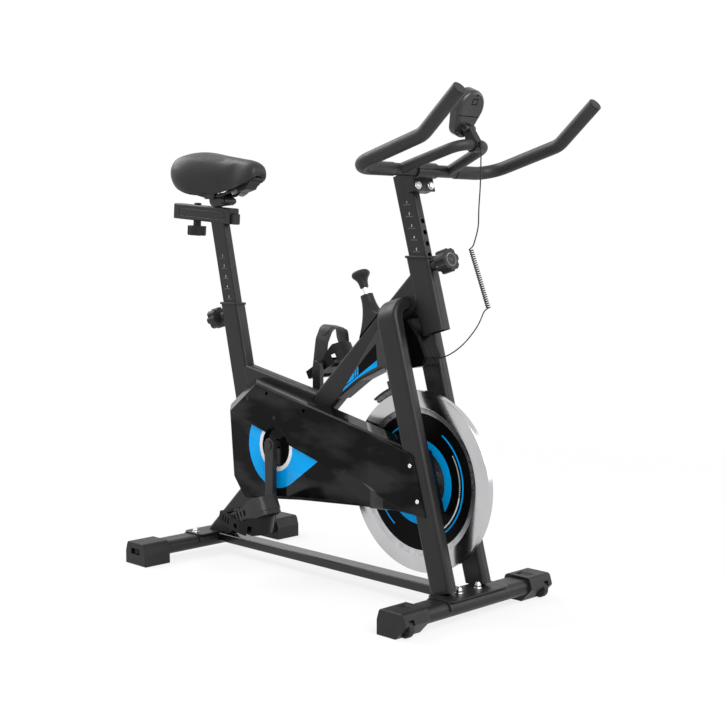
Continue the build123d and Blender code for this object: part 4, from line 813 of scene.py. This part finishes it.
# Toe straps: a wide band with a raised panel, a ladder of holes at its outer end and a buckle;
# the shape is in shares of reach and rise
straps = [
    {"name": "toeStrapRight", "node": "pedal_strap_right", "body": "right_pedal", "side": -1, "tilt": 15.0,
     "lean": 49.0, "rise": 84.0},
    {"name": "toeStrapLeft", "node": "pedal_strap_left", "body": "left_pedal", "side": 1, "tilt": -30.0,
     "lean": 40.0, "rise": 88.0},
]
band = {
    "crank": 169.5, "pedalY": 132.0, "foot": -14.0, "deck": 12.0, "reach": 38.0, "low": -26.0, "corner": 15.0,
    "rows": 96, "narrow": 26.0, "wide": 42.0, "thick": 2.6, "flare": (0.20, 0.32),
    "hole": 13.0, "ladder": (8, 23), "panel": (0.32, 0.66), "panelWide": 24.0, "panelThick": 1.6,
    "buckleAt": 0.155, "buckle": (33.0, 15.0), "window": (27.0, 8.0), "buckleThick": 3.2, "buckleLift": 0.6,
    "shape": [(-37 / 38, 0.35), (-0.55, 0.94), (0.7, 1.0), (1.0, 0.62)], "runStep": 2.0, "holePitch": 4,
    "inner": 1.0, "trim": 0.1, "panelSink": 0.2, "panelTips": 5.0, "panelLeast": 0.02,
    "edges": (0.5, 0.4, 0.7),
}


def strapPlace(strap, spot, across):
    lean = math.radians(strap["lean"])
    tilt = math.radians(strap["tilt"])
    x = band["foot"] + spot.y * math.sin(lean) + across * math.cos(lean)
    z = band["deck"] + spot.y * math.cos(lean) - across * math.sin(lean)
    return pedalPlace(strap, Vector((x, spot.x, z)), tilt)


def pedalPlace(strap, local, tilt):
    x = local.x * math.cos(tilt) + local.z * math.sin(tilt)
    z = local.z * math.cos(tilt) - local.x * math.sin(tilt)
    side = strap["side"]
    middle = Vector((crankMid.x, side * band["pedalY"] * mm, crankMid.z + side * band["crank"] * mm))
    return middle + Vector((x, -side * local.y, z)) * mm


def leftOf(lead):
    return Vector((-lead.y, lead.x))


def makeStrap(strap):
    reach = band["reach"]
    count = band["rows"]
    corners = [(x * reach, z * strap["rise"]) for x, z in band["shape"]]
    corners = [(-reach, band["low"])] + corners + [(reach - band["inner"], band["low"])]
    spots = evenSpots(roundedRun(corners, band["corner"], band["runStep"]), count)
    mainEdge, panelEdge, buckleEdge = band["edges"]
    rows = []
    for k, (spot, _) in enumerate(spots):
        share = (k / count - band["flare"][0]) / (band["flare"][1] - band["flare"][0])
        share = min(1, max(0, share))
        share = share * share * (3 - 2 * share)
        half = (band["narrow"] + (band["wide"] - band["narrow"]) * share) / 2
        rows.append([strapPlace(strap, spot, w) for w in (-half, -band["hole"] / 2, band["hole"] / 2, half)])
    holes = {(i, 1) for i in range(*band["ladder"]) if (i - band["ladder"][0]) % band["holePitch"] in (1, 2)}
    main = solidSheet(strap["name"], rows, holes, band["thick"], mainEdge)
    trimAtDeck(main, strap)
    first, last = [round(share * count) for share in band["panel"]]
    lift = (band["thick"] + band["panelThick"]) / 2 - band["panelSink"]
    rows = []
    for spot, lead in spots[first:last + 1]:
        k = len(rows) / (last - first)
        tip = max(0, 1 - min(k, 1 - k) * band["panelTips"])  # the panel's ends are round
        half = band["panelWide"] / 2 * math.sqrt(max(band["panelLeast"], 1 - tip ** 2))
        raised = spot + leftOf(lead) * lift
        rows.append([strapPlace(strap, raised, w) for w in (-half, -half / 2, half / 2, half)])
    panel = solidSheet("panel", rows, set(), band["panelThick"], panelEdge)
    spot, lead = spots[round(band["buckleAt"] * count)]
    centre = spot + leftOf(lead) * (band["thick"] / 2 + band["buckleLift"])
    (wide, long), (openWide, openLong) = band["buckle"], band["window"]
    rows = []
    for s in (-long / 2, -openLong / 2, openLong / 2, long / 2):
        edges = (-wide / 2, -openWide / 2, openWide / 2, wide / 2)
        rows.append([strapPlace(strap, centre + lead * s, w) for w in edges])
    buckle = solidSheet("buckle", rows, {(1, 1)}, band["buckleThick"], buckleEdge)
    joinInto(main, [panel, buckle])
    smoothBelow(main, 40)
    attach(main, strap["body"])
    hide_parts(strap["node"])


def trimAtDeck(piece, strap):
    tilt = math.radians(strap["tilt"])
    level = pedalPlace(strap, Vector((0, 0, band["deck"] + band["trim"])), tilt)
    up = Vector((math.sin(tilt), 0, math.cos(tilt)))

    def cutAndClose(form):
        whole = form.verts[:] + form.edges[:] + form.faces[:]
        cut = bmesh.ops.bisect_plane(form, geom=whole, plane_co=level, plane_no=up, clear_inner=True)
        rim = [e for e in cut["geom_cut"] if isinstance(e, bmesh.types.BMEdge)]
        bmesh.ops.edgeloop_fill(form, edges=rim)

    reform(piece, cutAndClose, turnOut)


def joinInto(piece, others):
    def takeIn(form):
        for other in others:
            form.from_mesh(other.data)
            bpy.data.objects.remove(other)

    reform(piece, takeIn, turnOut)


# Floors under the two windows of each pedal
pedalFloor = {"windows": (-32.2, 26.0), "size": (26.4, 76.4), "low": -6.0, "thick": 2.0}


def makePedalFloor(strap):
    tilt = math.radians(strap["tilt"])
    halfLong, halfWide = [v / 2 for v in pedalFloor["size"]]
    points = []
    faces = []
    for x in pedalFloor["windows"]:
        k = len(points)
        for h in (pedalFloor["low"], pedalFloor["low"] + pedalFloor["thick"]):
            for a, b in ((-1, -1), (1, -1), (1, 1), (-1, 1)):
                points.append(pedalPlace(strap, Vector((x + a * halfLong, b * halfWide, h)), tilt))
        faces += [(k, k + 1, k + 2, k + 3), (k + 4, k + 5, k + 6, k + 7)]
        faces += [(k + i, k + (i + 1) % 4, k + 4 + (i + 1) % 4, k + 4 + i) for i in range(4)]
    piece = meshObject(strap["name"].replace("toeStrap", "pedalFloor"), points, faces, mats["pedalBlack"])
    reform(piece, turnOut)
    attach(piece, strap["body"])


for strap in straps:
    makeStrap(strap)
    makePedalFloor(strap)
print("toe straps made")


# Bars in a row, as Geometry Nodes
def makeRowTree():
    tree = bpy.data.node_groups.new("barRow", "GeometryNodeTree")
    kinds = {"Count": "Int", "Start": "Vector", "Step": "Vector", "Size": "Vector", "Finish": "Material"}
    ids = {}
    for label, kind in kinds.items():
        socket = tree.interface.new_socket(label, in_out="INPUT", socket_type="NodeSocket" + kind)
        ids[label] = socket.identifier
    tree.interface.new_socket("Geometry", in_out="OUTPUT", socket_type="NodeSocketGeometry")
    given = addNode(tree, "NodeGroupInput").outputs
    line = addNode(tree, "GeometryNodeMeshLine", {"Count": given["Count"], "Start Location": given["Start"],
                                                  "Offset": given["Step"]}, mode="OFFSET")
    bar = addNode(tree, "GeometryNodeMeshCube", {"Size": given["Size"]})
    copies = addNode(tree, "GeometryNodeInstanceOnPoints", {"Points": line.outputs["Mesh"],
                                                            "Instance": bar.outputs["Mesh"]})
    real = addNode(tree, "GeometryNodeRealizeInstances", {0: copies.outputs[0]})
    inked = addNode(tree, "GeometryNodeSetMaterial", {"Geometry": real.outputs[0],
                                                      "Material": given["Finish"]})
    addNode(tree, "NodeGroupOutput", {0: inked.outputs[0]})
    return tree, ids


rowTree, rowIds = makeRowTree()


def barRow(name, count, start, step, size, finish):
    holder = place(name, bpy.data.meshes.new(name))
    maker = holder.modifiers.new("row", "NODES")
    maker.node_group = rowTree
    values = {"Count": count, "Start": tuple(start), "Step": tuple(step), "Size": tuple(size),
              "Finish": mats[finish]}
    for label, value in values.items():
        maker[rowIds[label]] = value
    applyModifiers(holder)
    return holder


# Height scales on the right side of both posts
scales = [
    {"name": "seatScale", "body": "seat_mast", "from": (-343.98, 606.0), "line": (-0.2284, 0.9736),
     "first": 113.0},
    {"name": "barScale", "body": "bars", "from": (266.72, 722.0), "line": (-0.2756, 0.9613), "first": 113.5},
]
mark = {"count": 5, "pitch": 25.0, "tick": (20.0, 0.2, 1.7), "face": -10.05, "digit": 7.5, "lift": 3.2}


def digitMesh(text):
    data = bpy.data.curves.new("digit", "FONT")
    data.body = text
    data.size = mark["digit"] * mm
    data.extrude = mark["tick"][1] * mm / 2
    data.align_x = "CENTER"
    writer = place("digit", data)
    mesh = evaluatedMesh(writer)
    bpy.data.objects.remove(writer)
    mesh.materials.clear()
    return mesh


def makeScale(scale):
    line = Vector((scale["line"][0], 0, scale["line"][1]))
    first = (Vector((scale["from"][0], mark["face"], scale["from"][1])) + line * scale["first"]) * mm
    size = [v * mm for v in mark["tick"]]
    ticks = barRow(scale["name"], mark["count"], first, line * (-mark["pitch"] * mm), size, "scaleInk")
    stand = Matrix(((1, 0, 0), (0, 0, -1), (0, 1, 0))).to_4x4()  # text faces the right side
    digits = []
    for k in range(mark["count"]):
        spot = first - line * (mark["pitch"] * k * mm) + Vector((0, 0, mark["lift"] * mm))
        mesh = digitMesh(str(k + 1))
        mesh.transform(Matrix.Translation(spot) @ stand)
        digits.append(place("digit", mesh))
    joinInto(ticks, digits)
    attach(ticks, scale["body"])


for scale in scales:
    makeScale(scale)
print("height scales printed")

# Print on the brake shroud's right side, in millimetres of the row frame
decal = {"tip": (57.5, 430.5), "top": (160.0, 541.0), "low": (164.0, 492.5), "bulge": (4.0, 4.5), "steps": 12,
         "face": -24.15, "thick": 0.3, "stripe": (5.0, 0.055), "gap": 1.8, "block": 58.0, "slant": 0.55,
         "cuts": [(43.0, 45.5), (50.5, 53.0)], "black": (60.0, grey(0.001), grey(0.002)),
         "gloss": (120.0, 0.3, 0.4)}


def bowed(a, b, bulge, steps):
    lead = b - a
    side = Vector((-lead.y, lead.x)).normalized() * bulge
    return [a.lerp(b, k / steps) + side * (4 * k / steps * (1 - k / steps)) for k in range(steps)]


def decalInk():
    mat, tree, skin = startFinish("decalInk")
    tip = Vector(decal["tip"])
    lead = (Vector(decal["low"]) - tip).normalized()
    x, _, z = aboutMiddle(tree, (tip.x * mm, 0, tip.y * mm))
    reach = along(tree, x, z, lead)
    height = along(tree, x, z, (-lead.y, lead.x))
    top = plus(tree, times(tree, reach, decal["stripe"][1]), decal["stripe"][0])
    slanted = minus(tree, reach, times(tree, height, decal["slant"]))
    block = times(tree, over(tree, height, plus(tree, top, decal["gap"])),
                  under(tree, slanted, decal["block"]))
    for cut in decal["cuts"]:
        block = minus(tree, block, times(tree, block, within(tree, slanted, *cut)))
    blue = either(tree, under(tree, height, top), block)
    wire(tree, skin, {"Base Color": blendColor(tree, blue, mottled(tree, *decal["black"]), inks["blue"]),
                      "Roughness": uneven(tree, *decal["gloss"]), "Specular IOR Level": 0.06})
    return mat


def makeDecal():
    tip, top, low = [Vector(decal[k]) for k in ("tip", "top", "low")]
    outline = bowed(tip, top, decal["bulge"][0], decal["steps"]) + bowed(top, low, 0.0, 1)
    outline += bowed(low, tip, -decal["bulge"][1], decal["steps"])
    points = [Vector((p.x, decal["face"], p.y)) * mm for p in outline]
    piece = meshObject("shroudDecal", points, [tuple(range(len(points)))], decalInk())
    thicken(piece, decal["thick"])
    reform(piece, turnOut)
    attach(piece, "frame")


makeDecal()
print("shroud decal laid")

# Shroud: a satin panel on either side behind the fork, dark gloss elsewhere
shell = {"side": 19.8, "front": 190.0, "dark": (12.0, grey(0.0015), grey(0.003)),
         "satin": (12.0, grey(0.018), grey(0.026)), "gloss": (40.0, 0.26, 0.34), "shine": (0.07, 0.4),
         "grain": (900.0, 0.01, 2.0)}


def makeShroudSkin():
    mat, tree, skin = startFinish("shroudSkin")
    x, y, _ = aboutMiddle(tree, (0, 0, 0))
    outer = over(tree, mathOf(tree, "ABSOLUTE", y), shell["side"])
    panel = times(tree, outer, under(tree, x, shell["front"]))
    color = blendColor(tree, panel, mottled(tree, *shell["dark"]), mottled(tree, *shell["satin"]))
    wire(tree, skin, {"Base Color": color, "Roughness": uneven(tree, *shell["gloss"]),
                      "Specular IOR Level": spread(tree, panel, *shell["shine"], 0.0, 1.0)})
    fineGrain(tree, skin, *shell["grain"])
    return mat


dressNode("brake_shroud", makeShroudSkin())
print("shroud dressed")

# Handlebar clamp: painted plate with two zinc bolts, told apart by place
clampBolt = {"from": (266.72, 0.0, 722.0), "line": (-0.2756, 0.9613), "front": (0.9613, 0.2756),
             "height": 140.1, "half": 19.0, "radius": 8.4, "plate": 48.4, "gloss": (0.26, 0.4)}

# One finish over another where the mask is 1
laid = {"mottle": 60.0, "gloss": 120.0, "grain": (1400.0, 0.03, edgeRound)}


def layTwo(tree, skin, mask, base, top, gloss):
    looks = (finishes[base], finishes[top])
    colors = [mottled(tree, laid["mottle"], *look["tones"]) for look in looks]
    metals = [look.get("metal", 0.0) for look in looks]
    wire(tree, skin, {"Base Color": blendColor(tree, mask, *colors),
                      "Metallic": spread(tree, mask, *metals, 0.0, 1.0),
                      "Roughness": uneven(tree, laid["gloss"], *gloss),
                      "Specular IOR Level": looks[0].get("specular", 0.3)})
    fineGrain(tree, skin, *laid["grain"])


def makeClampSkin():
    mat, tree, skin = startFinish("clampSkin")
    height, forward, y = alongLine(tree, clampBolt["from"], clampBolt["line"], clampBolt["front"])
    up = minus(tree, height, clampBolt["height"])
    side = minus(tree, mathOf(tree, "ABSOLUTE", y), clampBolt["half"])
    bolt = times(tree, under(tree, radiusOf(tree, up, side), clampBolt["radius"]),
                 over(tree, forward, clampBolt["plate"]))
    layTwo(tree, skin, bolt, "frameCoat", "brightZinc", clampBolt["gloss"])
    return mat


dressNode("bar_clamp", makeClampSkin())
print("clamp dressed")

# Hand knobs on the posts: a pale ring in the groove of the face, the pin's end blackened
knobs = [
    {"pin": "bar_pin", "grip": "bar_knob", "from": (302.178, 0.0, 707.199), "out": (0.961262, 0.275637)},
    {"pin": "seat_pin", "grip": "seat_knob", "from": (-368.387, 0.0, 578.704), "out": (-0.973579, -0.228351)},
]
knobFace = {"height": 50.0, "ring": (11.9, 14.1), "groove": 1.6, "pinEnd": (-1.0, 9.0), "black": 9.0}


def makeKnobSkin(row, part, low, near, base, top):
    mat, tree, skin = startFinish(row[part] + "Skin")
    out = row["out"]
    across, forward, y = alongLine(tree, row["from"], (-out[1], out[0]), out)
    spot = times(tree, over(tree, forward, knobFace["height"] - low),
                 within(tree, radiusOf(tree, across, y), *near))
    layTwo(tree, skin, spot, base, top, finishes[base]["rough"])
    dressNode(row[part], mat)


for row in knobs:
    makeKnobSkin(row, "grip", knobFace["groove"], knobFace["ring"], "mouldedBlack", "scaleRing")
    makeKnobSkin(row, "pin", knobFace["black"], knobFace["pinEnd"], "brightZinc", "mouldedBlack")
print("hand knobs dressed")

# Monitor's back: battery door, a small hole and the crease above the pivot, with painted shade: the door's
# gap, the hole and the crease are painted near black
monitorBack = {"from": (365.02, 0.0, 964.0), "line": (0.4067, 0.9135), "front": (0.9135, -0.4067),
               "face": 11.0, "door": (1.0, 76.0, 8.0, 6.5), "gap": (0.72, 1.0), "hole": (3.0, 89.0, 2.4),
               "crease": (45.2, 46.8), "case": (20.0, grey(0.012), grey(0.017)), "gapShade": grey(0.001),
               "gloss": (60.0, 0.2, 0.3), "shine": (0.5, 0.02), "depth": 0.3, "edge": 1.5}


def makeMonitorSkin():
    mat, tree, skin = startFinish("monitorSkin")
    look = monitorBack
    height, forward, y = alongLine(tree, look["from"], look["line"], look["front"])
    doorY, doorV, halfY, halfV = look["door"]
    across = mathOf(tree, "DIVIDE", mathOf(tree, "ABSOLUTE", minus(tree, y, doorY)), halfY)
    upward = mathOf(tree, "DIVIDE", mathOf(tree, "ABSOLUTE", minus(tree, height, doorV)), halfV)
    line = within(tree, either(tree, across, upward), *look["gap"])
    holeY, holeV, holeRadius = look["hole"]
    hole = radiusOf(tree, minus(tree, y, holeY), minus(tree, height, holeV))
    line = either(tree, line, under(tree, hole, holeRadius))
    line = either(tree, line, within(tree, height, *look["crease"]))
    line = times(tree, line, over(tree, forward, look["face"]))
    # Painted shade: the door's gap, the hole and the crease are painted near black
    wire(tree, skin, {"Base Color": blendColor(tree, line, mottled(tree, *look["case"]), look["gapShade"]),
                      "Roughness": uneven(tree, *look["gloss"]),
                      "Specular IOR Level": spread(tree, line, *look["shine"], 0.0, 1.0)})
    raiseBump(tree, skin, minus(tree, 1.0, line), look["depth"], roundEdge(tree, look["edge"]))
    return mat


dressNode("monitor_case", makeMonitorSkin())
print("monitor dressed")

# Floor, world and lamps
stage = {"floor": 40.0, "paper": (0.86, 0.86, 0.86), "matt": 0.9, "near": 0.8, "fade": (0.7, 2.4),
         "ambient": 0.45}


def mixShaders(tree, share, first, second):
    inputs = {0: share, 1: first.outputs[0], 2: second.outputs[0]}
    return addNode(tree, "ShaderNodeMixShader", inputs).outputs[0]


def rayShare(tree):
    path = addNode(tree, "ShaderNodeLightPath").outputs
    seen = either(tree, path["Is Camera Ray"], path["Is Glossy Ray"])
    return either(tree, seen, path["Is Transmission Ray"])


def makeStage():
    half = stage["floor"] / 2
    corners = [(-half, -half, 0), (half, -half, 0), (half, half, 0), (-half, half, 0)]
    mat, tree, skin = startFinish("floorPaper")
    wire(tree, skin, {"Base Color": (*stage["paper"], 1), "Roughness": stage["matt"]})
    glow = addNode(tree, "ShaderNodeEmission", {"Color": (1, 1, 1, 1), "Strength": 1.0})
    away = addNode(tree, "ShaderNodeVectorMath", {0: objectPoint(tree)}, operation="LENGTH").outputs["Value"]
    share = spread(tree, away, stage["near"], 1.0, *stage["fade"])  # white paper away from the bike
    out = next(n for n in tree.nodes if n.type == "OUTPUT_MATERIAL")
    wire(tree, out, {"Surface": mixShaders(tree, times(tree, rayShare(tree), share), skin, glow)})
    meshObject("floor", corners, [(0, 1, 2, 3)], mat)


def makeWorld():
    world = bpy.data.worlds.new("studio")
    bpy.context.scene.world = world
    world.use_nodes = True
    tree = world.node_tree
    tree.nodes.clear()
    ambient = addNode(tree, "ShaderNodeBackground", {"Color": (1, 1, 1, 1), "Strength": stage["ambient"]})
    white = addNode(tree, "ShaderNodeBackground", {"Color": (1, 1, 1, 1), "Strength": 1.0})
    addNode(tree, "ShaderNodeOutputWorld", {"Surface": mixShaders(tree, rayShare(tree), ambient, white)})


lamps = [
    {"name": "keyBox", "place": (3.0, -0.9, 2.6), "aim": (0.0, 0.0, 0.4), "size": 2.4, "watts": 120},
    {"name": "topBox", "place": (-2.4, -0.6, 2.9), "aim": (0.0, 0.0, 0.6), "size": 2.4, "watts": 90},
    {"name": "backBox", "place": (2.6, 3.2, 1.6), "aim": (0.0, 0.0, 0.4), "size": 2.6, "watts": 36},
]


def makeLamp(lamp):
    data = bpy.data.lights.new(lamp["name"], "AREA")
    data.energy = lamp["watts"]
    data.size = lamp["size"]
    light = place(lamp["name"], data)
    light.location = lamp["place"]
    aim = Vector(lamp["aim"]) - Vector(lamp["place"])
    light.rotation_euler = aim.to_track_quat("-Z", "Y").to_euler()


makeStage()
makeWorld()
for lamp in lamps:
    makeLamp(lamp)
print("stage lit")
